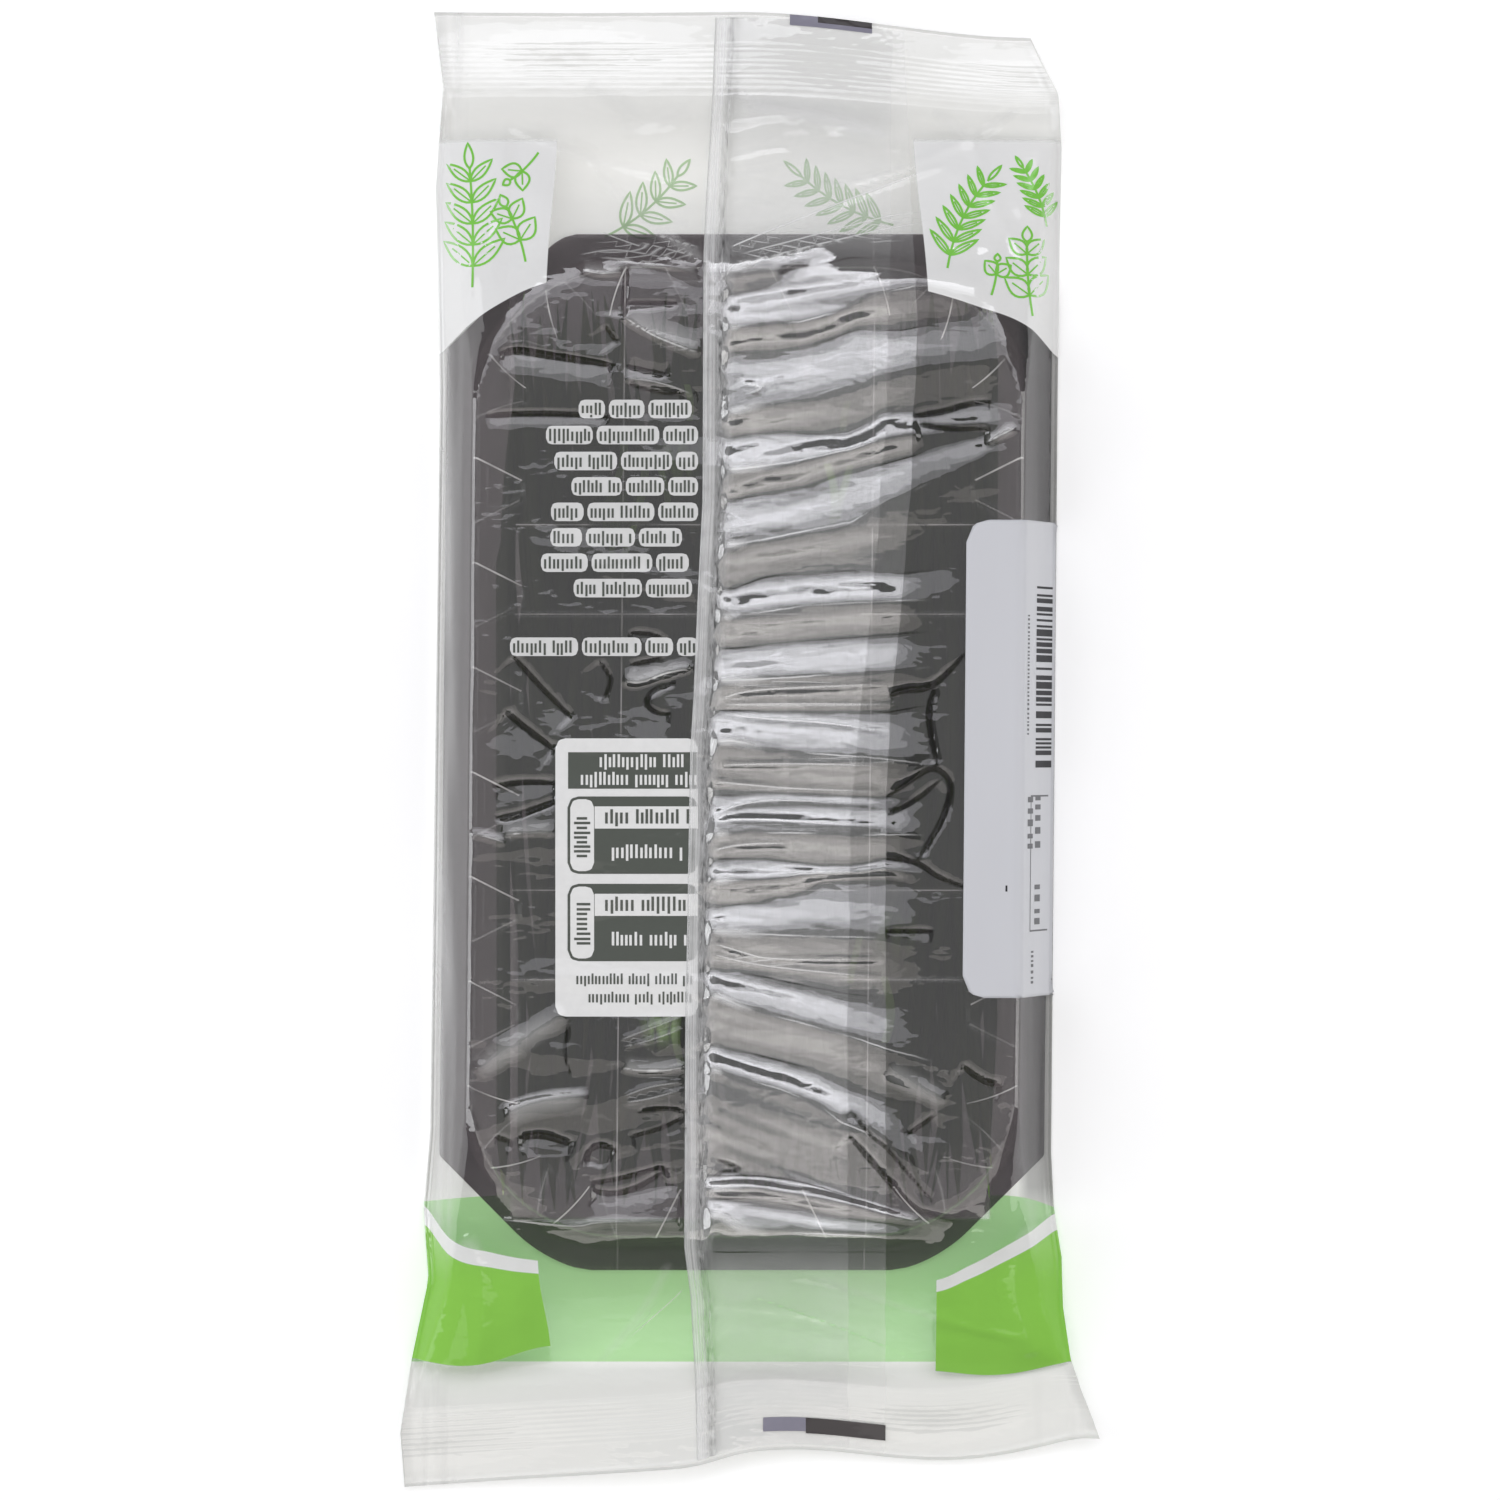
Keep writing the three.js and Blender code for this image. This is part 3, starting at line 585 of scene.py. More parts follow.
    def gathers(self, x, y):
        """The small pillows of film on the left of the seam and, past the tray's ends, on its right."""
        start, away = self.flow_start(x, y)
        ends = smooth(np.abs(y), 89 * MM, 96 * MM)
        right = sum(kind.rise(start, away) for kind in self.right_gathers) * ends
        right += sum(kind.rise(start, away) for kind in self.fine_gathers)
        right *= smooth(away, BAND_END, LOOSE_START)
        left = sum(kind.rise(start, -away) for kind in self.left_gathers) * smooth(-away, 0, 1.5 * MM)
        printed = smooth(y, -52 * MM, -44 * MM) * (1 - smooth(y, 56 * MM, 62 * MM))
        return np.where(away > 0, right, left * (1 - 0.75 * printed) * 0.6)

    def creases(self, x, y):
        """Soft unevenness of the film, and the folds in it."""
        pleated = smooth(x, self.seam(y), self.seam(y) + 10 * MM)
        pleated *= 1 - smooth(np.abs(y), 85 * MM, 95 * MM)
        soft = 0.5 * MM * unevenness(x, y, 29 * MM, 15 * MM, 7.7)
        sharp = np.maximum(0.3 * MM * (1 - 4 * np.abs(unevenness(x, y, 38 * MM, 17 * MM, 3.3))), 0)
        total = (soft + sharp) * (1 - 0.5 * pleated)
        for fold in FOLDS:
            total = total + fold_rise(x, y, fold)
        ends = self.end_share(y, 8 * MM)
        return total + 0.7 * MM * ends * unevenness(x, y, 15 * MM, 26 * MM, 11.1)

    def marks(self, x, y):
        """Where painted light and shade go on the film's folds: how far into a painted dark stroke of shade
        each place is, its distance from the nearest thin line, that line's painted tone, highlight above 0
        and shade below, and a soft painted glow of highlight."""
        wide = 1.3 * MM
        stroke, line = np.full(np.shape(x), -2 * MM), np.full(np.shape(x), 2 * MM)
        tone, glow = np.zeros(np.shape(x)), np.zeros(np.shape(x))
        # Dents get painted dark strokes of shade; raised folds get thin lines of painted highlight and, on a
        # wide side, a soft painted glow of highlight.
        for fold in FOLDS:
            near, nearest, side, at = fold_places(x, y, fold, 1 * MM)
            taper = smooth(at, 0, 0.25) * (1 - smooth(at, 0.6, 1))
            height = abs(fold[0])
            if fold[0] < 0:
                half = (0.16 + 0.75 * height * (0.35 + 0.65 * taper)) * MM * min(1, max(fold[1:3]))
                stroke[near] = np.maximum(stroke[near], half - nearest)
                continue
            closer = nearest < np.abs(line[near])
            line[near] = np.where(closer, nearest * side, line[near])
            thin = min(fold[1:3]) * MM < wide
            tone[near] = np.where(closer, thin * taper * min(1, 0.35 + height), tone[near])
            for direction, width in ((1, fold[1] * MM), (-1, fold[2] * MM)):
                if width > wide:
                    shade = np.clip(1 - nearest / width, 0, 1) * (side == direction) * taper * height
                    glow[near] = np.maximum(glow[near], shade)
        # Along the pleats, painted thin lines: shade along the valleys and highlight along the crests.
        places = np.linspace(-12, 50, 125) * MM
        away = smooth(x - self.seam(y), 4.2 * MM, 6 * MM) * (1 - smooth(x, 28 * MM, 34 * MM))
        for index, points in enumerate(PLEATS):
            points = np.array(points) * MM
            level = np.interp(x, *points.T)
            slope = np.interp(x, points[1:, 0], np.diff(points[:, 1]) / np.diff(points[:, 0]))
            off = (y - level) / np.hypot(1, slope)
            wander = unevenness(places, places * 0, 11 * MM, 1.0, 3.7 * index) * 1.8
            strength = np.interp(x, places, np.clip(wander + 0.35, 0, 1)) * away
            valley = index % 2
            fine = np.interp(x, places, unevenness(places, places * 0, 1.6 * MM, 1.0, 5.1 * index))
            closer = np.abs(off) < np.abs(line)
            line = np.where(closer, off + 0.12 * MM * fine, line)
            tone = np.where(closer, -strength if valley else 0.75 * strength, tone)
            # A painted glow of highlight at the root of each crest.
            if not valley:
                out = x - self.seam(y) - 4.4 * MM
                reach = (8 + 5 * np.sin(2.3 * index)) * MM
                tip = np.exp(-(off / (0.5 * MM + 0.05 * np.clip(out, 0, None))) ** 2)
                tip *= 1.1 * smooth(out, 0, 0.8 * MM) * (1 - smooth(out, 0.1 * MM, reach))
                glow = np.maximum(glow, tip)
        tone = tone * (np.abs(line) < 1.4 * MM)
        return stroke, line, tone, glow

    def back(self, x, y):
        """Height of the film on the pack's back, which is up."""
        x, y = np.broadcast_arrays(np.asarray(x, float), np.asarray(y, float))
        flat = self.seal_middle(x, y) + 0.05 * MM + self.crimp(x, y)
        relief = (self.pleats(x, y) + self.gathers(x, y) + self.creases(x, y)) * self.calm(x, y)
        room = np.where(relief > 0, 1.35 * MM, 1 * MM)
        share = self.drop_share(x, y)
        walls = 1.3 * MM * unevenness(x, y, 5 * MM, 46 * MM, 9.9)
        walls *= smooth(share, 0, 0.2) * (1 - smooth(share, 0.7, 1))
        walls *= 1 - 0.6 * self.end_share(y, 20 * MM)
        over_tray = self.sizes.tray_depth - 0.1 * MM
        return mix(over_tray, flat, share) + walls + room * np.tanh(relief / room)

    def face(self, x, y):
        """Height of the film on the pack's face, which lies on the floor."""
        flat = self.seal_middle(x, y) - 0.05 * MM + self.crimp(x, y)
        start = self.sizes.tray_width / 2 - 18 * MM
        lift = 0.9 * MM * smooth(np.abs(x - TRAY_LEAN * y), start, start + 9 * MM)
        return mix(lift, flat, self.end_share(y))

    def cut(self, x, y):
        """Place along the pack, with the cut ends drawn in and wavy."""
        across = 2 * (x - self.left(y)) / (self.right(y) - self.left(y)) - 1
        ripple = 2.2 * MM * np.sin(2 * np.pi * (across + 0.25) / 1.15)
        ripple *= smooth(across, -0.25, 0) * (1 - smooth(across, 0.9, 1))
        bottom = 9 * MM * (across + 1) / 2 + ripple
        top = -4.6 * MM * smooth(across, 0, 1)
        near_end = smooth(np.abs(y), self.half_length - 45 * MM, self.half_length)
        return y + np.where(y < 0, bottom, top) * near_end

    def on_back(self, x, y, lift=0.0):
        """A place on the film's back, with a lift off it."""
        return x, self.cut(x, y), self.back(x, y) + lift

    def on_face(self, x, y, lift=0.0):
        """A place on the inside of the film that lies on the floor, with a lift off it."""
        return x, self.cut(x, y), self.face(x, y) + lift


def spaced(places, counts, share):
    """Places at shares from 0 to 1 of a run of cells, with so many cells between each two given places."""
    ends = np.concatenate([[0], np.cumsum(counts)]) / np.sum(counts)
    return np.interp(share, ends, places)


def add_grid(form, columns, rows):
    """A grid one unit wide, with its vertices and its faces."""
    uv_layer = form.loops.layers.uv.get(UV_MAP) or form.loops.layers.uv.new(UV_MAP)
    before = len(form.faces)
    made = bmesh.ops.create_grid(form, x_segments=columns, y_segments=rows, size=0.5, calc_uvs=False)
    form.faces.ensure_lookup_table()
    faces = form.faces[before:]
    for face in faces:
        for loop in face.loops:
            loop[uv_layer].uv = (loop.vert.co.x + 0.5, loop.vert.co.y + 0.5)
    return made["verts"], faces


def shares(verts):
    """How far across and along its grid each vertex is, from 0 to 1."""
    return np.array([vert.co.x + 0.5 for vert in verts]), np.array([vert.co.y + 0.5 for vert in verts])


def move_to(verts, where):
    """Moves a grid's vertices to the place that where() gives for their shares across and along."""
    across, along = shares(verts)
    for vert, *co in zip(verts, *np.broadcast_arrays(*where(across, along))):
        vert.co = co


def add_layers(form, names):
    """Layers on a form's vertices for the values that its material reads."""
    return [form.verts.layers.float.new(name) for name in names]


def mark_film(form, verts, layers, where):
    """Stores the painted light and shade marks of the folds on a sheet of film's vertices, before they are
    moved.
    """
    x, y = where(*shares(verts))[:2]
    for layer, values in zip(layers, form.marks(x, y)):
        for vert, value in zip(verts, values):
            vert[layer] = value


def finish_piece(name, form, materials):
    """Makes the object of a finished form, which rides on the pack."""
    mesh = bpy.data.meshes.new(name)
    form.to_mesh(mesh)
    form.free()
    for material in materials:
        mesh.materials.append(material)
    mesh.polygons.foreach_set("use_smooth", [True] * len(mesh.polygons))
    piece = bpy.data.objects.new(name, mesh)
    bpy.context.scene.collection.objects.link(piece)
    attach(piece, BODY)
    return piece


def add_patch(form, box, where, corner=0.0, cell=0.9 * MM, material=0):
    """A patch with round corners, laid on the surface that where() gives for places in its own plane."""
    low_x, low_y, high_x, high_y = box
    columns = max(2, round((high_x - low_x) / cell))
    rows = max(2, round((high_y - low_y) / cell))
    if corner:
        rows = max(rows, 8)

    def lay(across, along):
        y = mix(low_y, high_y, along)
        if corner:
            straight = (high_y - low_y) / 2 - corner
            tight = corner * 0.3
            steps = [low_y, low_y + tight, low_y + corner, high_y - corner, high_y - tight, high_y]
            y = spaced(steps, [2, 1, max(rows - 6, 1), 1, 2], along)
            past = np.clip(np.abs(y - (low_y + high_y) / 2) - straight, 0, corner)
            inset = corner - np.sqrt(corner ** 2 - past ** 2)
        else:
            inset = 0.0
        return where(mix(low_x + inset, high_x - inset, across), y)

    verts, faces = add_grid(form, columns, rows)
    move_to(verts, lay)
    for face in faces:
        face.material_index = material


class Recipe:
    """Adds shader nodes to a tree and joins them up."""

    def __init__(self, tree):
        self.tree = tree

    def add(self, kind, inputs=None, **settings):
        """A node with its settings, and with values or other nodes' sockets at its inputs."""
        node = self.tree.nodes.new(kind)
        for key, value in settings.items():
            setattr(node, key, value)
        for socket, value in (inputs or {}).items():
            if isinstance(value, bpy.types.NodeSocket):
                self.tree.links.new(value, node.inputs[socket])
            else:
                node.inputs[socket].default_value = value
        return node

    def math(self, operation, *values, clamp=False):
        """The result of a sum on one, two or three values."""
        inputs = dict(enumerate(values))
        return self.add("ShaderNodeMath", inputs, operation=operation, use_clamp=clamp).outputs[0]

    def object_place(self):
        """The place on the piece, and its x and y on their own."""
        place_node = self.add("ShaderNodeTexCoord").outputs["Object"]
        parts = self.add("ShaderNodeSeparateXYZ", {0: place_node})
        return place_node, parts.outputs[0], parts.outputs[1]

    def size_of(self, value):
        """A value without its sign."""
        return self.math("ABSOLUTE", value)

    def away(self, value, other):
        """How far apart two values are."""
        return self.size_of(self.math("SUBTRACT", value, other))

    def from_middle(self, x, y):
        """How far across and along the pack each place is from the tray's middle."""
        across = self.away(x, self.math("MULTIPLY_ADD", y, TRAY_LEAN, TRAY_MIDDLE))
        return across, self.size_of(self.math("ADD", y, TRAY_DOWN))

    def more(self, value, limit, soft=0.15 * MM):
        """1 where the value is more than the limit, with a soft edge."""
        return self.math("MULTIPLY_ADD", self.math("SUBTRACT", value, limit), 1 / soft, 0.5, clamp=True)

    def less(self, value, limit, soft=0.15 * MM):
        """1 where the value is less than the limit, with a soft edge."""
        return self.more(limit, value, soft)

    def both(self, *masks):
        """Where all of the masks are."""
        result = masks[0]
        for mask in masks[1:]:
            result = self.math("MULTIPLY", result, mask)
        return result

    def either(self, *masks):
        """Where any of the masks is."""
        result = masks[0]
        for mask in masks[1:]:
            result = self.math("MAXIMUM", result, mask)
        return result

    def line(self, across, points):
        """The height of a bent line over the places across, from its points in millimetres."""
        reach = 150
        share = self.math("MULTIPLY_ADD", across, 1 / (2 * reach * MM), 0.5)
        node = self.add("ShaderNodeFloatCurve", {1: share})
        curve = node.mapping.curves[0]
        wanted = [(x / (2 * reach) + 0.5, y / (2 * reach) + 0.5) for x, y in points]
        curve.points[0].location, curve.points[1].location = wanted[0], wanted[-1]
        for point in wanted[1:-1]:
            curve.points.new(*point)
        node.mapping.update()
        return self.math("MULTIPLY_ADD", node.outputs[0], 2 * reach * MM, -reach * MM)

    def blend(self, share, first, second):
        """A colour between two colours."""
        node = self.add("ShaderNodeMix", {0: share, 6: first, 7: second}, data_type="RGBA")
        return node.outputs[2]

    def noise(self, vector, scale, detail=2.0, rough=0.5):
        """Cloudy noise from 0 to 1."""
        inputs = {"Vector": vector, "Scale": scale, "Detail": detail, "Roughness": rough}
        return self.add("ShaderNodeTexNoise", inputs).outputs["Fac"]

    def stretched(self, vector, scale):
        """The place with each axis scaled on its own."""
        return self.add("ShaderNodeMapping", {0: vector, 3: scale}, vector_type="POINT").outputs[0]

    def stored(self, name):
        """The value that the mesh stores under a name."""
        return self.add("ShaderNodeAttribute", attribute_name=name).outputs["Fac"]

    def group(self, tree, **inputs):
        """A shared effect, with its own values."""
        node = self.add("ShaderNodeGroup", node_tree=tree)
        for name, value in inputs.items():
            socket = node.inputs[name.replace("_", " ")]
            if isinstance(value, bpy.types.NodeSocket):
                self.tree.links.new(value, socket)
            else:
                socket.default_value = value
        return node

    def bump(self, height, distance, strength=1.0):
        """A normal from a height."""
        node = self.add("ShaderNodeBump", {"Height": height, "Distance": distance, "Strength": strength})
        return node.outputs[0]


def rgba(colour_value, share=1.0):
    """A colour with full alpha, or a darker shade of it."""
    return (*(share * channel for channel in colour_value), 1.0)


def new_material(name):
    """An empty material, its recipe and its output node."""
    material = bpy.data.materials.new(name)
    material.use_nodes = True
    material.node_tree.nodes.clear()
    recipe = Recipe(material.node_tree)
    return material, recipe, recipe.add("ShaderNodeOutputMaterial")


def effect_group(name, inputs, outputs):
    """A new node group with named number inputs and outputs, its recipe and its two end nodes."""
    tree = bpy.data.node_groups.new(name, "ShaderNodeTree")
    for title, default in inputs.items():
        socket = tree.interface.new_socket(title, in_out="INPUT", socket_type="NodeSocketFloat")
        socket.default_value = default
    for socket in outputs:
        tree.interface.new_socket(socket, in_out="OUTPUT", socket_type="NodeSocketFloat")
    recipe = Recipe(tree)
    return tree, recipe, recipe.add("NodeGroupInput"), recipe.add("NodeGroupOutput")


def film_creasing():
    """The small creases, scratches and haze that thin film picks up when it is handled."""
    name = "Film creasing"
    if name in bpy.data.node_groups:
        return bpy.data.node_groups[name]
    tree, recipe, given, result = effect_group(name, {"Crease": 1.0, "Haze": 0.1}, ("Height", "Haze"))
    place_node, _, _ = recipe.object_place()
    broad = recipe.noise(recipe.stretched(place_node, (60, 110, 60)), 1.0, 3.0, 0.6)
    ridged = recipe.away(broad, 0.5)
    fine = recipe.noise(recipe.stretched(place_node, (160, 420, 160)), 1.0, 1.0, 0.5)
    height = recipe.math("MULTIPLY_ADD", ridged, -2.0, recipe.math("MULTIPLY", fine, 0.08))
    tree.links.new(recipe.math("MULTIPLY", height, given.outputs["Crease"]), result.inputs["Height"])
    cloud = recipe.noise(recipe.stretched(place_node, (45, 70, 45)), 1.0, 4.0, 0.6)
    uneven = recipe.math("MULTIPLY_ADD", cloud, 1.0, 0.5)
    haze = recipe.math("MULTIPLY", given.outputs["Haze"], uneven, clamp=True)
    tree.links.new(haze, result.inputs["Haze"])
    return tree


def film_shader(recipe, output, ink, ink_colour, haze_share, crease, shine, folded=False, lit=0.0):
    """Clear film: a faint haze or opaque ink, seen through in the rest, under a glossy face. On folded film
    the folds get painted light and shade: painted dark strokes of shade that mirror almost nothing, thin
    painted lines of highlight or shade, and a soft painted glow of highlight in the haze. Where lit is
    above 0 the ink glows, a painted light."""
    creasing = recipe.group(film_creasing(), Crease=crease, Haze=haze_share)
    normal = recipe.bump(creasing.outputs["Height"], 0.25 * MM)
    haze = creasing.outputs["Haze"]
    if folded:
        stroke, line, tone, glow = (recipe.stored(name) for name in (STROKE, LINE, TONE, GLOW))
        # Painted shade: dark strokes and dark thin lines mirror less and hide the haze. Painted highlight:
        # bright thin lines and the glow whiten the haze.
        on_line = recipe.less(recipe.size_of(line), 0.14 * MM, 0.2 * MM)
        dark_line = recipe.both(on_line, recipe.math("MULTIPLY", tone, -1.0, clamp=True))
        dark = recipe.either(recipe.more(stroke, 0.0, 0.3 * MM), dark_line)
        bright = recipe.both(on_line, recipe.math("MULTIPLY", tone, 0.5, clamp=True))
        bright = recipe.math("MULTIPLY_ADD", glow, 0.45, bright, clamp=True)
        mirrored = recipe.math("SUBTRACT", 1.0, recipe.math("MULTIPLY", dark, 0.85))
        haze = recipe.both(recipe.either(haze, bright), mirrored)
        shine = recipe.both(mirrored, shine)
    # The emission, at the lit strength, is a painted glow, not a lamp.
    body = recipe.add("ShaderNodeBsdfPrincipled", {
        "Base Color": ink_colour, "Roughness": 0.45, "Specular IOR Level": 0.0, "Normal": normal,
        "Alpha": recipe.either(haze, ink), "Emission Color": ink_colour, "Emission Strength": lit,
    })
    gloss = recipe.add("ShaderNodeBsdfGlossy", {
        "Color": (1, 1, 1, 1), "Roughness": FILM_BLUR, "Normal": normal,
    })
    inner_side = recipe.add("ShaderNodeNewGeometry").outputs["Backfacing"]
    index = recipe.math("MULTIPLY_ADD", inner_side, 1 / FILM_SHINE - FILM_SHINE, FILM_SHINE)
    mirror = recipe.add("ShaderNodeFresnel", {"IOR": index, "Normal": normal}).outputs[0]
    mirror = recipe.both(recipe.math("MINIMUM", mirror, MOST_MIRRORED), shine)
    whole = recipe.add("ShaderNodeMixShader", {0: mirror, 1: body.outputs[0], 2: gloss.outputs[0]})
    recipe.tree.links.new(whole.outputs[0], output.inputs["Surface"])


def end_zones(recipe, y):
    """Past the tray's ends, where the film is more crumpled and milky, and the shine that it has there."""
    ends = recipe.more(recipe.size_of(y), 93 * MM, 8 * MM)
    seals = recipe.more(recipe.size_of(y), 120 * MM, 1.5 * MM)
    return ends, recipe.math("MULTIPLY_ADD", ends, -0.75, recipe.math("MULTIPLY_ADD", seals, 0.45, 1.0))


def back_film_material(colours):
    """The film of the pack's back: white print at the top corners, a green band and a white stripe at the
    bottom, and hazy white streaks where it goes down the tray's long walls, partly haze and partly painted
    sheen, much stronger on the left wall. On the right wall the film mirrors half as much, a painted shade."""
    material, recipe, output = new_material("film back")
    place_node, x, y = recipe.object_place()
    left_side = recipe.less(x, recipe.line(y, PRINT_LEFT))
    right_side = recipe.more(x, recipe.line(y, PRINT_RIGHT))
    sides = recipe.either(left_side, right_side)
    above = recipe.more(y, recipe.line(x, WHITE_START))
    white_top = recipe.both(sides, above, recipe.less(y, WHITE_END, 0.8 * MM))
    green_top = recipe.line(x, GREEN_TOP)
    stripe_width = recipe.math("MULTIPLY_ADD", recipe.size_of(x), 0.045, 0.7 * MM)
    stripe_top = recipe.math("ADD", green_top, stripe_width)
    green = recipe.both(sides, recipe.less(y, green_top), recipe.more(y, recipe.line(x, GREEN_BOTTOM)))
    stripe = recipe.both(sides, recipe.less(y, stripe_top), recipe.more(y, green_top))
    ink = recipe.math("MULTIPLY", recipe.either(white_top, green, stripe), 0.97)
    ink_colour = recipe.blend(green, rgba(colours.white_ink), rgba(colours.green_ink))

    off, _ = recipe.from_middle(x, y)
    # Streaks down the long walls: partly haze, partly painted sheen, much stronger on the left wall than on
    # the right as painted light.
    walls = recipe.more(off, 53 * MM, 3 * MM)
    streaks = recipe.noise(recipe.stretched(place_node, (330, 16, 60)), 1.0, 1.0, 0.5)
    on_left = recipe.math("MULTIPLY_ADD", recipe.less(x, 0.0, 2 * MM), 0.85, 0.15)
    haze_and_painted_sheen = recipe.both(walls, recipe.math("MULTIPLY_ADD", streaks, 1.5, -0.62, clamp=True), on_left)
    ends, shine = end_zones(recipe, y)
    haze = recipe.math("ADD", recipe.math("MULTIPLY_ADD", ends, 0.05, 0.012), haze_and_painted_sheen)
    # Painted shade on the right wall: the film there mirrors half as much.
    right_wall = recipe.both(walls, recipe.more(x, 0.0))
    shine = recipe.both(shine, recipe.math("MULTIPLY_ADD", right_wall, -0.5, 1.0))
    film_shader(recipe, output, ink, ink_colour, haze, 0.8, shine, True)
    return material


def face_film_material(colours):
    """The film of the pack's face, seen from inside: white at both ends and up the sides, with a green band
    above the bottom seal and a clear window over the herbs. The white is darker at the seals and, as painted
    shade, up the tray's long sides, most on the right; a faint painted glow stands for light from the floor."""
    material, recipe, output = new_material("film face")
    _, x, y = recipe.object_place()
    across, along = recipe.size_of(x), recipe.size_of(y)
    window = recipe.both(recipe.less(along, 86 * MM, 0.5 * MM), recipe.less(across, 44 * MM, 0.5 * MM))
    green = recipe.both(recipe.less(y, recipe.line(x, INNER_GREEN_TOP)), recipe.more(y, INNER_GREEN_BOTTOM))
    thin_bottom = recipe.math("MULTIPLY", recipe.less(y, -118 * MM, 5 * MM), 0.1)
    thin_top = recipe.math("MULTIPLY", recipe.more(y, 118 * MM, 5 * MM), 0.25)
    solid = recipe.math("SUBTRACT", 0.97, recipe.either(thin_bottom, thin_top))
    ink = recipe.math("MULTIPLY", solid, recipe.math("SUBTRACT", 1.0, window))

    seals = recipe.either(recipe.more(y, 111 * MM, 9 * MM), recipe.less(y, -112 * MM, 3 * MM))
    white = recipe.blend(seals, rgba(colours.inner_white), rgba(colours.inner_white, 0.88))
    # Painted shade where the film rises up the tray's long sides: the white darkens to half on the right and
    # by an eighth on the left.
    painted_side_shade = recipe.both(recipe.more(across, 50 * MM, 2 * MM), recipe.less(along, 84 * MM, 8 * MM),
                         recipe.math("MULTIPLY_ADD", recipe.more(x, 0.0), 0.75, 0.25))
    white = recipe.blend(painted_side_shade, white, rgba(colours.inner_white, 0.5))
    ink_colour = recipe.blend(green, white, rgba(colours.inner_green))
    # A faint painted glow for light that comes through from the floor: weaker at the seals, less up the
    # sides and none up the right side.
    lit = recipe.math("MULTIPLY_ADD", seals, -0.14, 0.17)
    lit = recipe.both(lit, recipe.math("SUBTRACT", 1.0, painted_side_shade))
    film_shader(recipe, output, ink, ink_colour, 0.015, 0.6, 0.4, lit=lit)
    return material


def fin_material(sizes):
    """The two films of the seam fin, whiter in the pressed band at its root, with thin painted highlight
    lines at the band's edges and patches of painted dark shade in the crumpled film beside the band.
    """
    material, recipe, output = new_material("seam fin film")
    uv = recipe.add("ShaderNodeUVMap", uv_map=UV_MAP).outputs[0]
    across = recipe.add("ShaderNodeSeparateXYZ", {0: uv}).outputs[0]
    from_fold = recipe.size_of(recipe.math("MULTIPLY_ADD", across, 2.0, -1.0))
    root = sizes.fin_band / sizes.fin_width
    band = recipe.less(from_fold, root, 0.006)
    streaks = recipe.noise(recipe.stretched(uv, (170, 7, 1)), 1.0, 2.0, 0.6)
    sharper = recipe.math("MULTIPLY_ADD", streaks, 2.6, -0.8, clamp=True)
    patches = recipe.noise(recipe.stretched(uv, (14, 60, 1)), 1.0, 2.0, 0.5)
    cloudy = recipe.math("MULTIPLY_ADD", recipe.both(sharper, patches), 0.65, 0.05)
    cloudy = recipe.math("MULTIPLY_ADD", recipe.less(from_fold, root * 0.55, 0.01), 0.1, cloudy)
    # Thin painted highlight lines along both edges of the pressed band.
    edges = recipe.either(recipe.less(from_fold, 0.007, 0.004),
                          recipe.less(recipe.away(from_fold, root), 0.005, 0.004))
    light = recipe.both(band, recipe.math("MULTIPLY_ADD", edges, 0.14, cloudy, clamp=True))

    _, _, y = recipe.object_place()
    ends, shine = end_zones(recipe, y)
    # Patches of painted dark shade in the crumpled film beside the band: near-black opaque ink, fainter past
    # the tray's ends.
    crumple_shade_noise = recipe.noise(recipe.stretched(uv, (120, 110, 1)), 1.0, 2.0, 0.6)
    zone = recipe.both(recipe.more(from_fold, root * 0.7, 0.03), recipe.less(from_fold, root * 1.3, 0.05))
    dark = recipe.both(zone, recipe.math("MULTIPLY_ADD", crumple_shade_noise, 3.0, -1.0, clamp=True))
    ink_colour = recipe.blend(dark, (0.94, 0.94, 0.94, 1), (0.03, 0.03, 0.03, 1))
    dark = recipe.both(dark, recipe.math("MULTIPLY_ADD", ends, -0.7, 0.75))
    haze = recipe.math("MULTIPLY_ADD", ends, 0.13, 0.032)
    past_fold = recipe.more(from_fold, 0.03, 0.02)
    shine = recipe.both(shine, recipe.math("MULTIPLY_ADD", past_fold, 0.75, 0.25))
    film_shader(recipe, output, recipe.either(light, dark), ink_colour, haze, 0.7, shine, True)
    return material


def ink_material(name, colour_value, roughness=0.4, gloss=1.0):
    """Print, under the film's gloss where it is on the film."""
    material, recipe, output = new_material(name)
    creasing = recipe.group(film_creasing(), Crease=0.7, Haze=1.0)
    normal = recipe.bump(creasing.outputs["Height"], 0.2 * MM)
    place_node, _, _ = recipe.object_place()
    grain = recipe.noise(recipe.stretched(place_node, (700, 700, 700)), 1.0, 2.0, 0.5)
    body = recipe.add("ShaderNodeBsdfPrincipled", {
        "Base Color": recipe.blend(grain, rgba(colour_value, 0.9), rgba(colour_value)),
        "Roughness": roughness, "Specular IOR Level": 0.2, "Normal": normal,
        "Coat Weight": gloss, "Coat Roughness": 0.08, "Coat Normal": normal,
    })
    recipe.tree.links.new(body.outputs[0], output.inputs["Surface"])
    return material


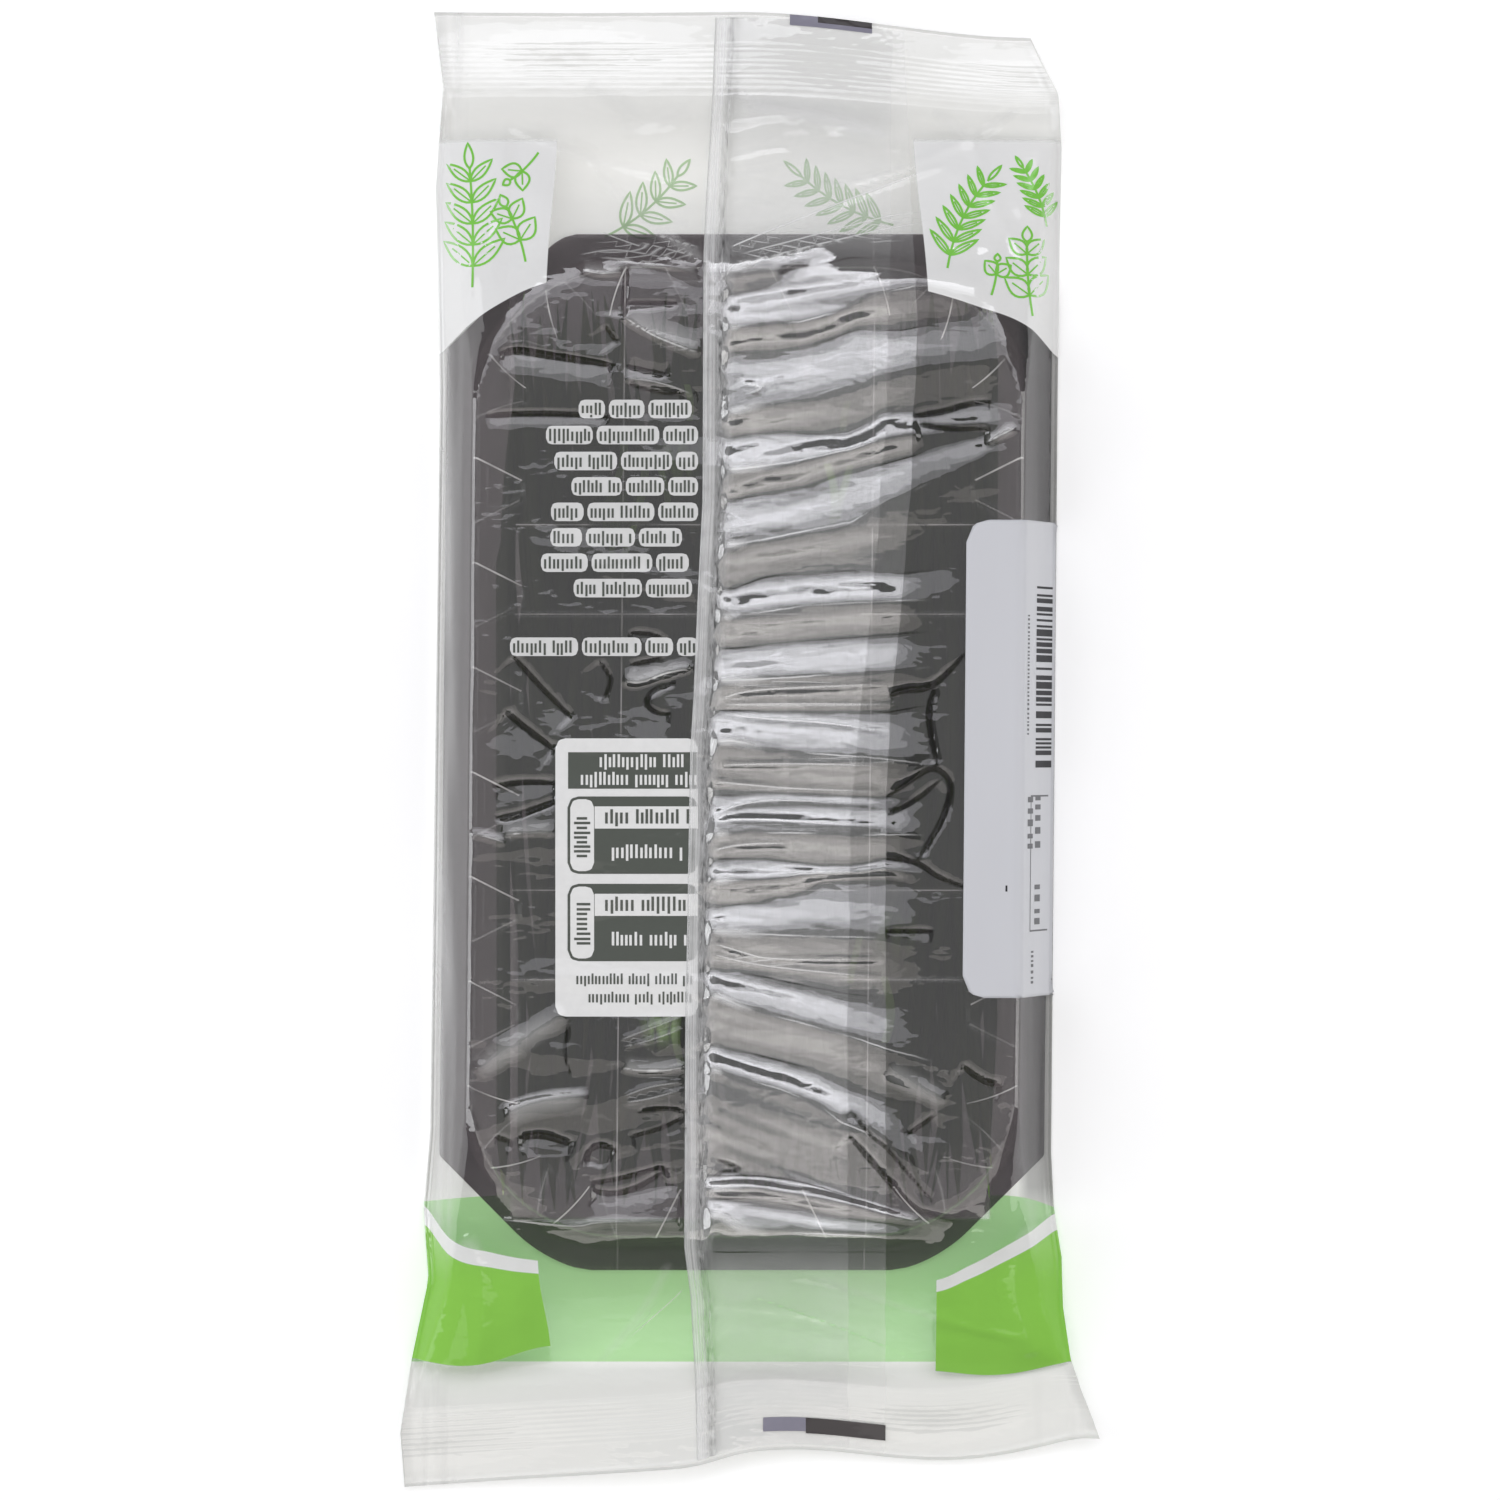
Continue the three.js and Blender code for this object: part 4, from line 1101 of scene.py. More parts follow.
def tray_ridges(recipe, x, y, shine):
    """Where painted highlight lines go on the edges of the tray's flutes and steps, and where painted shade
    goes at the flutes' inner ends.
    """
    outline, facing = recipe.stored(OUTLINE), recipe.stored(FACING)
    flutes = recipe.less(recipe.size_of(outline), 0.2 * MM, 0.12 * MM)
    across, along = recipe.from_middle(x, y)
    thin, soft = 0.14 * MM, 0.1 * MM
    steps = recipe.less(recipe.away(across, STEP_SIDE), thin, soft)
    for end in SHELF_ENDS:
        step = recipe.both(recipe.less(recipe.away(along, end), thin, soft), recipe.less(across, 42 * MM))
        steps = recipe.either(steps, step)
    # Painted highlight on the flute sides, stronger on one side of each, fainter along the steps, and varied
    # by the noise.
    lit_flutes = recipe.both(flutes, recipe.more(facing, 0.25, 0.4))
    light = recipe.either(lit_flutes, recipe.math("MULTIPLY", steps, 0.6))
    light = recipe.both(light, recipe.math("MULTIPLY_ADD", shine, 2.0, -0.2, clamp=True))
    return light, recipe.both(flutes, recipe.less(facing, -0.4, 0.4))


def pressed_spots(recipe, x, y, uneven):
    """How strongly chives press against the tray's base, with uneven edges."""
    pressed = 0.0
    for spot_x, spot_y, strength in PRESSED:
        across = recipe.math("POWER", recipe.away(x, spot_x * MM), 2.0)
        along = recipe.math("POWER", recipe.away(y, spot_y * MM), 2.0)
        apart = recipe.math("SQRT", recipe.math("ADD", across, along))
        near = recipe.less(recipe.math("MULTIPLY_ADD", uneven, 5 * MM, apart), 6.5 * MM, 3 * MM)
        pressed = recipe.either(pressed, recipe.math("MULTIPLY", near, strength))
    return pressed


def tray_material(colours):
    """Smoky, slightly clear thermoformed plastic, drawn in faint lines along its length, with painted
    highlight lines on its flute and step edges and painted shade at its flutes' inner ends.
    """
    material, recipe, output = new_material("smoky tray")
    place_node, x, y = recipe.object_place()
    flow = recipe.noise(recipe.stretched(place_node, (30, 70, 60)), 1.0, 3.0, 0.5)
    drawn = recipe.noise(recipe.stretched(place_node, (520, 14, 200)), 1.0, 2.0, 0.5)
    shine = recipe.noise(recipe.stretched(place_node, (90, 90, 90)), 1.0, 2.0, 0.5)
    light, dark = tray_ridges(recipe, x, y, shine)
    tone = recipe.blend(flow, rgba(colours.tray_smoke, 0.6), rgba(colours.tray_smoke))
    # Painted highlight: pale grey on the flute and step edges.
    tone = recipe.blend(light, tone, (0.6, 0.58, 0.57, 1))
    # Painted shade: near black at the flutes' inner ends.
    body = recipe.add("ShaderNodeBsdfPrincipled", {
        "Base Color": recipe.blend(dark, tone, (0.004, 0.004, 0.004, 1)), "IOR": 1.4,
        "Roughness": recipe.math("MULTIPLY_ADD", drawn, 0.1, 0.1), "Normal": recipe.bump(drawn, 0.1 * MM),
    })
    pressed = pressed_spots(recipe, x, y, shine)
    cover = recipe.math("MULTIPLY_ADD", flow, 0.16, 0.36)
    cover = recipe.both(cover, recipe.math("MULTIPLY_ADD", pressed, -0.9, 1.0))
    # The painted highlight lines are nearly opaque.
    cover = recipe.either(cover, recipe.math("MULTIPLY", light, 0.9))
    seen = recipe.blend(pressed, (0.76, 0.705, 0.735, 1), (0.97, 0.97, 0.97, 1))
    clear = recipe.add("ShaderNodeBsdfTransparent", {"Color": seen})
    whole = recipe.add("ShaderNodeMixShader", {0: cover, 1: clear.outputs[0], 2: body.outputs[0]})
    recipe.tree.links.new(whole.outputs[0], output.inputs["Surface"])
    return material


def chive_material(colours):
    """Fresh leaf: green, streaked along its length, pale towards the cut end."""
    material, recipe, output = new_material("chives")
    uv = recipe.add("ShaderNodeUVMap", uv_map=UV_MAP).outputs[0]
    along = recipe.add("ShaderNodeSeparateXYZ", {0: uv}).outputs[1]
    place_node, _, _ = recipe.object_place()
    streak = recipe.noise(recipe.stretched(place_node, (900, 30, 900)), 1.0, 3.0, 0.6)
    patches = recipe.noise(recipe.stretched(place_node, (160, 22, 160)), 1.0, 2.0, 0.5)
    fresh = recipe.math("MULTIPLY_ADD", patches, 1.6, -0.3, clamp=True)
    green = recipe.blend(fresh, rgba(colours.chive_green, 0.55), rgba(colours.chive_green))
    cut_end = recipe.math("MULTIPLY_ADD", along, -9.0, 1.0, clamp=True)
    body = recipe.add("ShaderNodeBsdfPrincipled", {
        "Base Color": recipe.blend(cut_end, green, rgba(colours.chive_pale)),
        "Roughness": recipe.math("MULTIPLY_ADD", streak, 0.25, 0.3),
        "Normal": recipe.bump(streak, 0.15 * MM),
    })
    recipe.tree.links.new(body.outputs[0], output.inputs["Surface"])
    return material


def paper_material(colours):
    """Coated label paper, with faint grain and soft unevenness."""
    material, recipe, output = new_material("label paper")
    place_node, _, _ = recipe.object_place()
    fibre = recipe.noise(recipe.stretched(place_node, (1500, 900, 1500)), 1.0, 3.0, 0.6)
    cloud = recipe.noise(recipe.stretched(place_node, (70, 30, 70)), 1.0, 2.0, 0.5)
    body = recipe.add("ShaderNodeBsdfPrincipled", {
        "Base Color": recipe.blend(cloud, rgba(colours.label_paper, 0.93), rgba(colours.label_paper)),
        "Roughness": recipe.math("MULTIPLY_ADD", fibre, 0.1, 0.35),
        "Normal": recipe.bump(recipe.math("MULTIPLY_ADD", fibre, 0.03, cloud), 0.35 * MM),
    })
    recipe.tree.links.new(body.outputs[0], output.inputs["Surface"])
    return material


def floor_material(colours):
    """Plain pale floor, lit a little from below."""
    material, recipe, output = new_material("pale floor")
    body = recipe.add("ShaderNodeBsdfPrincipled", {
        "Base Color": rgba(colours.floor_white), "Roughness": 0.9, "Specular IOR Level": 0.1,
        "Emission Color": (1, 1, 1, 1), "Emission Strength": 0.18,
    })
    recipe.tree.links.new(body.outputs[0], output.inputs["Surface"])
    return material


class PackOperator:
    """What the pack's operators share."""
    bl_options = {"REGISTER", "UNDO"}

    def execute(self, context):
        self.build(context.scene.pack_sizes, context.scene.pack_colours)
        return {"FINISHED"}


class PACK_OT_film(PackOperator, bpy.types.Operator):
    """Makes the film bag round the tray, shut at both ends"""
    bl_idname = "pack.film"
    bl_label = "Film bag"

    def build(self, sizes, colours):
        form = PackForm(sizes)
        shell = bmesh.new()
        layers = add_layers(shell, (STROKE, LINE, TONE, GLOW))
        back_verts, back_faces = add_grid(shell, 176, 516)
        back_edge = [edge for edge in shell.edges if edge.is_boundary]
        face_verts, face_faces = add_grid(shell, 40, 123)
        back_edges = set(back_edge)
        face_edge = [edge for edge in shell.edges if edge.is_boundary and edge not in back_edges]
        seal, base = form.seal_start, form.base_y
        crimped, tip = seal + 9.6 * MM, form.half_length
        stations = [-tip, -crimped, -seal, -base, base, seal, crimped, tip]
        rows = [6, 30, 47, 350, 47, 30, 6]
        columns = [2, 14, 64, 10, 34, 36, 14, 2]

        def flat_back(across, along):
            y = spaced(stations, rows, along)
            middle, seam = form.middle(y), form.seam(y)
            lines = [
                form.left(y), middle - form.foot(y, -1), middle - form.base_x,
                seam - 1 * MM, seam + 7 * MM, seam + 37 * MM,
                middle + form.base_x, middle + form.foot(y, 1), form.right(y),
            ]
            ends = np.cumsum([0, *columns]) / sum(columns)
            x = np.zeros_like(y)
            for low, high, first, second in zip(ends[:-1], ends[1:], lines[:-1], lines[1:]):
                inside = (across >= low - 1e-6) & (across <= high + 1e-6)
                x = np.where(inside, mix(first, second, (across - low) / (high - low)), x)
            return x, y

        def back(across, along):
            return form.on_back(*flat_back(across, along))

        def face(across, along):
            y = spaced(stations, [3, 10, 12, 73, 12, 10, 3], along)
            return form.on_face(mix(form.left(y), form.right(y), across), y)

        mark_film(form, back_verts, layers, flat_back)
        for vert in face_verts:
            vert[layers[0]], vert[layers[1]] = -2 * MM, 2 * MM
        move_to(back_verts, back)
        move_to(face_verts, face)
        bmesh.ops.reverse_faces(shell, faces=face_faces)
        for one in face_faces:
            one.material_index = 1
        bmesh.ops.bridge_loops(shell, edges=back_edge + face_edge)
        bmesh.ops.recalc_face_normals(shell, faces=shell.faces[:])
        films = [back_film_material(colours), face_film_material(colours)]
        piece = finish_piece("film_bag", shell, films)
        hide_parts("bag")


class PACK_OT_fin(PackOperator, bpy.types.Operator):
    """Makes the seam fin, two films folded over to the right and gathered at the seam"""
    bl_idname = "pack.fin"
    bl_label = "Seam fin"

    def build(self, sizes, colours):
        form = PackForm(sizes)
        sheet = bmesh.new()
        layers = add_layers(sheet, (STROKE, LINE, TONE, GLOW))
        verts, _ = add_grid(sheet, 108, 424)
        seal, base = form.seal_start, form.base_y
        stations = [-form.half_length + 1 * MM, -seal, -base, base, seal, form.half_length - 1 * MM]

        def flat(across, along):
            y = spaced(stations, [34, 38, 280, 38, 34], along)
            path = 2 * across - 1
            edge = np.where(path > 0, np.interp(y, *FIN_INNER.T), np.interp(y, *FIN_OUTER.T))
            edge = edge + np.where(path > 0, -0.35, 0.3) * MM * unevenness(y, y, 1.0, 9 * MM, 5.0)
            away = np.abs(path) * (edge - form.seam(y))
            return form.seam(y) + away, y, away, edge - form.seam(y)

        def lay(across, along):
            x, y, away, width = flat(across, along)
            upper = smooth(2 * across - 1, -0.015, 0.015)
            open_part = (1 - smooth(np.abs(y), seal - 6 * MM, seal)) * smooth(away, 5 * MM, 9 * MM)
            start, _ = form.flow_start(x, y)
            own = sum(kind.rise(start, away) for kind in form.fin_gathers) * open_part
            pinch = smooth(away, 2.6 * MM, 3.6 * MM) * (1 - smooth(away, 6 * MM, 8 * MM))
            pinch *= 1 - smooth(np.abs(y), seal - 2 * MM, seal)
            ridges = 0.05 * MM * np.cos(2 * np.pi * away / (1.1 * MM))
            ridges *= 1 - smooth(away, 3 * MM, 3.6 * MM)
            crumple = 0.35 * MM * pinch * unevenness(x, y, 2.2 * MM, 3.4 * MM, 6.6)
            curl = 0.25 * MM * smooth(away, 0.75 * width, width) * open_part
            curl *= 0.7 + unevenness(x, y, 30 * MM, 12 * MM, 4.2)
            upper_film = upper * (0.1 * MM + own)
            return form.on_back(x, y, 0.12 * MM + curl + crumple + upper_film + ridges)

        mark_film(form, verts, layers, flat)
        move_to(verts, lay)
        finish_piece("seam_fin", sheet, [fin_material(sizes)])


class PACK_OT_tray(PackOperator, bpy.types.Operator):
    """Makes the upturned tray, with its rim, fluted walls and stepped base"""
    bl_idname = "pack.tray"
    bl_label = "Tray"

    def build(self, sizes, colours):
        form = PackForm(sizes)
        sheet = bmesh.new()
        rim_x, rim_y = sizes.tray_width / 2 - 0.6 * MM, sizes.tray_length / 2 + 0.65 * MM

        def place_on(across, along):
            y = mix(-rim_y, rim_y, along)
            half = np.minimum(rim_x, rim_x + rim_y - sizes.tray_chamfer - np.abs(y))
            corner = np.where(y < 0, 7 * MM, 2.5 * MM)
            past = np.clip(np.abs(y) - rim_y + corner, 0, corner)
            half = half - corner + np.sqrt(corner ** 2 - past ** 2)
            return (2 * across - 1) * half, y

        def top(across, along):
            x, y = place_on(across, along)
            return form.middle(y) + x, y - TRAY_DOWN, self.height(form, x, y)

        def inside(across, along):
            x, y = place_on(across, along)
            return form.middle(y) + x, y - TRAY_DOWN, self.height(form, x, y, False) - sizes.tray_sheet

        layers = add_layers(sheet, (OUTLINE, FACING))
        top_verts, _ = add_grid(sheet, 190, 376)
        top_edge = {edge for edge in sheet.edges if edge.is_boundary}
        inside_verts, inside_faces = add_grid(sheet, 46, 76)
        inside_edge = [edge for edge in sheet.edges if edge.is_boundary and edge not in top_edge]
        x, y = place_on(*shares(top_verts))
        # The flute outlines and facings are stored for the painted highlight and shade lines on the flute
        # edges.
        outline, facing, _ = self.flutes(form, x, y)
        for vert, *values in zip(top_verts, outline, facing):
            for layer, value in zip(layers, values):
                vert[layer] = value
        for vert in inside_verts:
            vert[layers[0]] = 10 * MM
        move_to(top_verts, top)
        move_to(inside_verts, inside)
        bmesh.ops.reverse_faces(sheet, faces=inside_faces)
        bmesh.ops.bridge_loops(sheet, edges=list(top_edge) + inside_edge)
        bmesh.ops.recalc_face_normals(sheet, faces=sheet.faces[:])
        finish_piece("tray", sheet, [tray_material(colours)])

    @staticmethod
    def flutes(form, x, y):
        """For places from the tray's middle: distance out of the nearest flute, which way that flute's side
        faces, and distance in from the base's edge."""
        sizes = form.sizes
        corner = sizes.tray_corner
        inner_x, inner_y = form.base_x - 0.6 * MM - corner, form.base_y - 0.4 * MM - corner
        dx, dy = np.abs(x) - inner_x, np.abs(y) - inner_y
        round_part = np.hypot(np.maximum(dx, 0), np.maximum(dy, 0))
        into = corner - round_part - np.minimum(np.maximum(dx, dy), 0)
        angle = np.arctan2(np.maximum(dy, 0), np.maximum(dx, 1e-9))
        end_run = np.where(dy > dx, inner_x - np.minimum(np.abs(x), inner_x), 0)
        run = np.minimum(np.abs(y), inner_y) + angle * corner + end_run
        nearest = np.argmin(np.abs(run[..., None] - FLUTES), axis=-1)
        off = run - FLUTES[nearest]
        half = mix(5.9 * MM, 1.6 * MM, np.clip(into / sizes.flute_length, 0, 1))
        past_side, past_end = np.abs(off) - half, into - sizes.flute_length
        facing = np.where(past_end > past_side, -1.0, np.where(off * np.sign(y) > 0, 1.0, 0.25))
        facing = np.where(into < -0.3 * MM, 0.0, facing)
        return np.maximum(past_side, past_end), facing, into

    def height(self, form, x, y, fluted=True):
        """Height of the upturned tray over places from its middle: base, flutes, shelves, walls and rim."""
        sizes = form.sizes
        outline, _, into = self.flutes(form, x, y)
        wall = 1 - smooth(into, -3.4 * MM, 0.8 * MM)
        rim_top, base_top = 1.35 * MM, sizes.tray_depth - 1.3 * MM
        if not fluted:
            return mix(base_top - 1 * MM, rim_top, 1 - smooth(into, -3.4 * MM, 5 * MM))
        flute = 1 - smooth(outline, -0.3 * MM, 0.3 * MM)
        drop = flute * mix(1.5 * MM, 0.7 * MM, np.clip(into / sizes.flute_length, 0, 1))
        shelf = smooth(np.abs(np.abs(y) - 33.1 * MM), 8.4 * MM, 7.8 * MM)
        shelf *= smooth(into, 7.6 * MM, 8.2 * MM)
        raised = smooth(np.abs(x), 22.9 * MM, 22.3 * MM) * smooth(into, 8 * MM, 8.6 * MM)
        bead = np.exp(-((into - 1.6 * MM) / (0.5 * MM)) ** 2)
        step = smooth(into, 7.6 * MM, 8 * MM)
        surface = base_top - drop - 0.45 * MM * shelf + 0.35 * MM * raised
        surface = surface - 0.3 * MM * bead - 0.25 * MM * step
        return mix(surface, rim_top, wall)


class PACK_OT_chives(PackOperator, bpy.types.Operator):
    """Lays the bundle of cut chives in the tray"""
    bl_idname = "pack.chives"
    bl_label = "Chives"

    def build(self, sizes, colours):
        draw = np.random.default_rng(12)
        bundle = bmesh.new()
        for index in range(sizes.chive_count):
            level = index / sizes.chive_count
            side = draw.uniform(-42, 42) * MM
            height = (2.6 + 14.5 * level ** 1.6 * (1 - (side / (60 * MM)) ** 2)) * MM
            span = sizes.chive_length * draw.uniform(0.72, 1.0)
            slip = draw.uniform(-0.5, 0.5) * (sizes.chive_length - span)
            self.leaf(bundle, draw, sizes, side, slip, height, span, 0.9 * MM)
        touching = sizes.tray_depth - 3.9 * MM
        for x, y, strength in PRESSED:
            for _ in range(round(9 * strength)):
                side, slip = x * MM + draw.normal(0, 2.4 * MM), y * MM + draw.normal(0, 3 * MM)
                self.leaf(bundle, draw, sizes, side, slip, touching, 34 * MM, 0.3 * MM)
        bmesh.ops.remove_doubles(bundle, verts=bundle.verts[:], dist=0.005 * MM)
        bmesh.ops.holes_fill(bundle, edges=[edge for edge in bundle.edges if edge.is_boundary], sides=8)
        bmesh.ops.recalc_face_normals(bundle, faces=bundle.faces[:])
        finish_piece("chives", bundle, [chive_material(colours)])

    @staticmethod
    def leaf(bundle, draw, sizes, side, middle, height, span, wander):
        """One chive: a thin tapering tube that lies along the pack and wanders a little up and down."""
        verts, _ = add_grid(bundle, 6, 14)
        turn, bow = draw.normal(0, 0.05), draw.normal(0, 5 * MM) * span / sizes.chive_length
        radius = sizes.chive_width / 2 * draw.uniform(0.6, 1.15)
        flip, wave = draw.choice((-1, 1)), draw.uniform(0, 6.3)

        def lay(across, along):
            off = flip * (along - 0.5) * span
            taper = np.clip(np.minimum(along * 30, (1 - along) * 8), 0.05, 1)
            x = side + turn * off + bow * np.cos(np.pi * (along - 0.5))
            x = np.clip(x + 1.2 * MM * np.sin(along * 9 + wave), -45 * MM, 44 * MM)
            z = height + wander * np.sin(along * 7 + 2 * wave)
            angle = 2 * np.pi * across * flip
            return x + radius * taper * np.cos(angle), middle + off, z + radius * taper * np.sin(angle)

        move_to(verts, lay)


def drape(drawing, form):
    """Lays a flat drawing, whose heights are lifts off the film, on the film's back."""
    x, y, lift = np.array([tuple(vert.co) for vert in drawing.verts]).T
    for vert, *co in zip(drawing.verts, *form.on_back(x, y, lift)):
        vert.co = co


def stroke(form, points, width, where, material=0):
    """A drawn line of even width through points in the print's plane."""
    points = np.array(points)
    verts, faces = add_grid(form, 1, len(points) - 1)
    run = np.gradient(points, axis=0)
    run /= np.maximum(np.hypot(*run.T), 1e-9)[:, None]

    def lay(across, along):
        at = along * (len(points) - 1)
        x, y = (np.interp(at, range(len(points)), points[:, axis]) for axis in (0, 1))
        run_x, run_y = (np.interp(at, range(len(points)), run[:, axis]) for axis in (0, 1))
        off = (0.5 - across) * width
        return where(x - run_y * off, y + run_x * off)

    move_to(verts, lay)
    for face in faces:
        face.material_index = material


def leaf(root, angle, size, fullness):
    """The outline and the vein of a leaf, as two lines of points."""
    shares = np.linspace(0, 1, 9)
    belly = fullness * size * np.sin(np.pi * shares ** 0.8)
    along = np.concatenate([shares, shares[-2::-1]]) * size
    across = np.concatenate([belly, -belly[-2::-1]])
    outline = np.stack([root[0] + along * np.cos(angle) - across * np.sin(angle),
                        root[1] + along * np.sin(angle) + across * np.cos(angle)], axis=1)
    vein = np.stack([root[0] + 0.7 * size * shares[::2] * np.cos(angle),
                     root[1] + 0.7 * size * shares[::2] * np.sin(angle)], axis=1)
    return outline, vein


def sprig(form, root, angle, size, pairs, fullness, bend, where, material=0, width=0.42 * MM):
    """A twig with pairs of leaves, drawn in outline, in millimetres and degrees."""
    root, size, angle = np.array(root) * MM, size * MM, math.radians(angle)
    shares = np.linspace(0, 1, 12)
    turns = angle + bend * shares
    stem = root + np.cumsum(np.stack([np.cos(turns), np.sin(turns)], axis=1), axis=0) * size / len(shares)
    stroke(form, stem, width, where, material)
    for pair in range(pairs):
        share = (pair + 1) / (pairs + 0.6)
        at = np.array([np.interp(share, shares, stem[:, axis]) for axis in (0, 1)])
        heading = angle + bend * share
        for side in (-1, 1):
            leaf_size = size * (1 - 0.35 * share) / (pairs ** 0.5 + 0.7)
            outline, vein = leaf(at, heading + side * 0.85, leaf_size, fullness)
            stroke(form, outline, width, where, material)
            stroke(form, vein, 0.7 * width, where, material)
    outline, _ = leaf(stem[-1], angle + bend, size * 0.2, fullness)
    stroke(form, outline, width, where, material)


class PACK_OT_sprigs(PackOperator, bpy.types.Operator):
    """Draws plain leafy twigs on the white print"""
    bl_idname = "pack.sprigs"
    bl_label = "Sprigs"

    def build(self, sizes, colours):
        form = PackForm(sizes)
        drawing = bmesh.new()

        def flat(x, y):
            return x, y, 0.05 * MM

        def on_face(x, y):
            return form.on_face(x, y, 0.12 * MM)

        sprig(drawing, (-50.5, 82), 88, 24, 5, 0.17, 0.12, flat)
        sprig(drawing, (-40.5, 87.5), 100, 12, 2, 0.34, 0.3, flat)
        sprig(drawing, (-38.2, 109.5), 238, 8, 1, 0.36, -0.4, flat)
        sprig(drawing, (35.5, 85.5), 82, 21, 7, 0.1, -0.5, flat)
        sprig(drawing, (51.5, 77.5), 100, 15, 3, 0.3, -0.2, flat)
        sprig(drawing, (54.3, 94.5), 99, 14, 6, 0.11, 0.35, flat)
        sprig(drawing, (43.5, 81.8), 70, 7, 1, 0.4, 0.3, flat)
        drape(drawing, form)
        sprig(drawing, (-28, 93.5), 24, 19, 4, 0.16, 0.5, on_face, 1)
        sprig(drawing, (28, 96), 168, 21, 7, 0.1, -0.5, on_face, 1)
        paler = mix(np.array(colours.sprig_green), np.array((0.86, 0.9, 0.8)), 0.5)
        inks = [
            ink_material("sprig ink", colours.sprig_green),
            ink_material("sprig ink from inside", paler),
        ]
        finish_piece("sprigs", drawing, inks)


class PACK_OT_panel(PackOperator, bpy.types.Operator):
    """Prints the white panel of plain bars and the rows of blank lines left of the seam"""
    bl_idname = "pack.panel"
    bl_label = "Printed panel"

    def build(self, sizes, colours):
        form = PackForm(sizes)
        printing = bmesh.new()
        draw = np.random.default_rng(7)
        white, dark, dim = range(3)

        def patch(low_x, low_y, high_x, high_y, step, ink, corner=0.0):
            box = tuple(edge * MM for edge in (low_x, low_y, high_x, high_y))
            lift = (0.06 + 0.05 * step) * MM
            add_patch(printing, box, lambda x, y: (x, y, lift), corner * MM, 0.5 * MM, ink)

        def ticks(start, end, y, tall, step, ink, upright=True):
            """A blank line of small strokes, some of them taller, in groups."""
            thick = 0.24 * tall
            at, group = start, draw.integers(5, 14)
            while at + thick < end:
                rise = tall * draw.choice((0, 0, 0.3))
                drop = tall * draw.choice((0, 0, 0, 0, 0.25))
                box = (at, y - tall / 2 - drop, at + thick, y + tall / 2 + rise)
                if not upright:
                    box = (box[1], box[0], box[3], box[2])
                patch(*box, step, ink)
                group -= 1
                at += thick * draw.uniform(1.7, 2.1) if group else thick * 4
                group = group or draw.integers(5, 14)

        left, right, high, low = -35.2, -9.4, 2.1, -48.2
        patch(left, low, right, high, 0, white, 1.8)
        patch(left + 2.3, high - 9.1, right, high - 2.5, 1, dark)
        ticks(left + 8, right - 2.5, high - 4.3, 1.8, 2, white)
        ticks(left + 4.6, right, high - 7.5, 1.8, 2, white)
        for top in (high - 10.5, high - 26.3):
            bottom = top - 14
            patch(left + 2.2, bottom, right, top, 1, dark, 2)
            patch(left + 2.7, bottom + 0.5, left + 7, top - 0.5, 2, white, 1.5)
            patch(left + 7.1, top - 5.8, right, top - 1.8, 2, white)
            ticks(left + 9, right - 1, top - 3.9, 2, 3, dark)
            ticks(left + 10.2, right - 2, top - 10.2, 1.9, 2, white)
            ticks(bottom + 3, top - 3, left + 4.8, 1.9, 3, dark, False)
        ticks(left + 3.8, right - 1, low + 6.6, 1.5, 1, dark)
        ticks(left + 6, right - 1, low + 3.3, 1.5, 1, dark)
        lines = [(61.6, -31), (56.9, -36.9), (52.2, -35.4), (47.6, -32.3), (43, -36), (38.4, -36.1),
                 (33.8, -37.8), (29.2, -31.9), (18.6, -43.4)]
        for y, start in lines:
            at = start
            while at < -12.5:
                word = min(draw.uniform(4.5, 13), -9.4 - at)
                patch(at, y - 1.6, at + word, y + 1.75, 0, dim, 1.1)
                ticks(at + 0.55, at + word - 0.3, y - 0.15, 1.7, 1, dark)
                at += word + 0.7
        drape(printing, form)
        inks = [
            ink_material("panel white", colours.white_ink),
            ink_material("panel dark", colours.text_grey),
            ink_material("line white", tuple(0.86 * channel for channel in colours.white_ink)),
        ]
        finish_piece("printed_panel", printing, inks)


class PACK_OT_marks(PackOperator, bpy.types.Operator):
    """Prints the small register marks near the cut ends"""
    bl_idname = "pack.marks"
    bl_label = "Register marks"

    def build(self, sizes, colours):
        form = PackForm(sizes)
        printing = bmesh.new()

        def on_back(x, y):
            return form.on_back(x, y, 0.42 * MM)

        def over_grey(x, y):
            return form.on_back(x, y, 0.46 * MM)

        add_patch(printing, (7.3 * MM, 132.9 * MM, 22.3 * MM, 134.9 * MM), on_back)
        add_patch(printing, (12.4 * MM, 133.8 * MM, 22.3 * MM, 134.95 * MM), over_grey, material=1)
        add_patch(printing, (2.4 * MM, -131.4 * MM, 10.2 * MM, -128.6 * MM), on_back)
        add_patch(printing, (10.2 * MM, -131.8 * MM, 24.8 * MM, -128.6 * MM), on_back, material=1)
        inks = [
            ink_material("mark grey", colours.mark_grey),
            ink_material("mark black", colours.mark_black),
        ]
        finish_piece("register_marks", printing, inks)


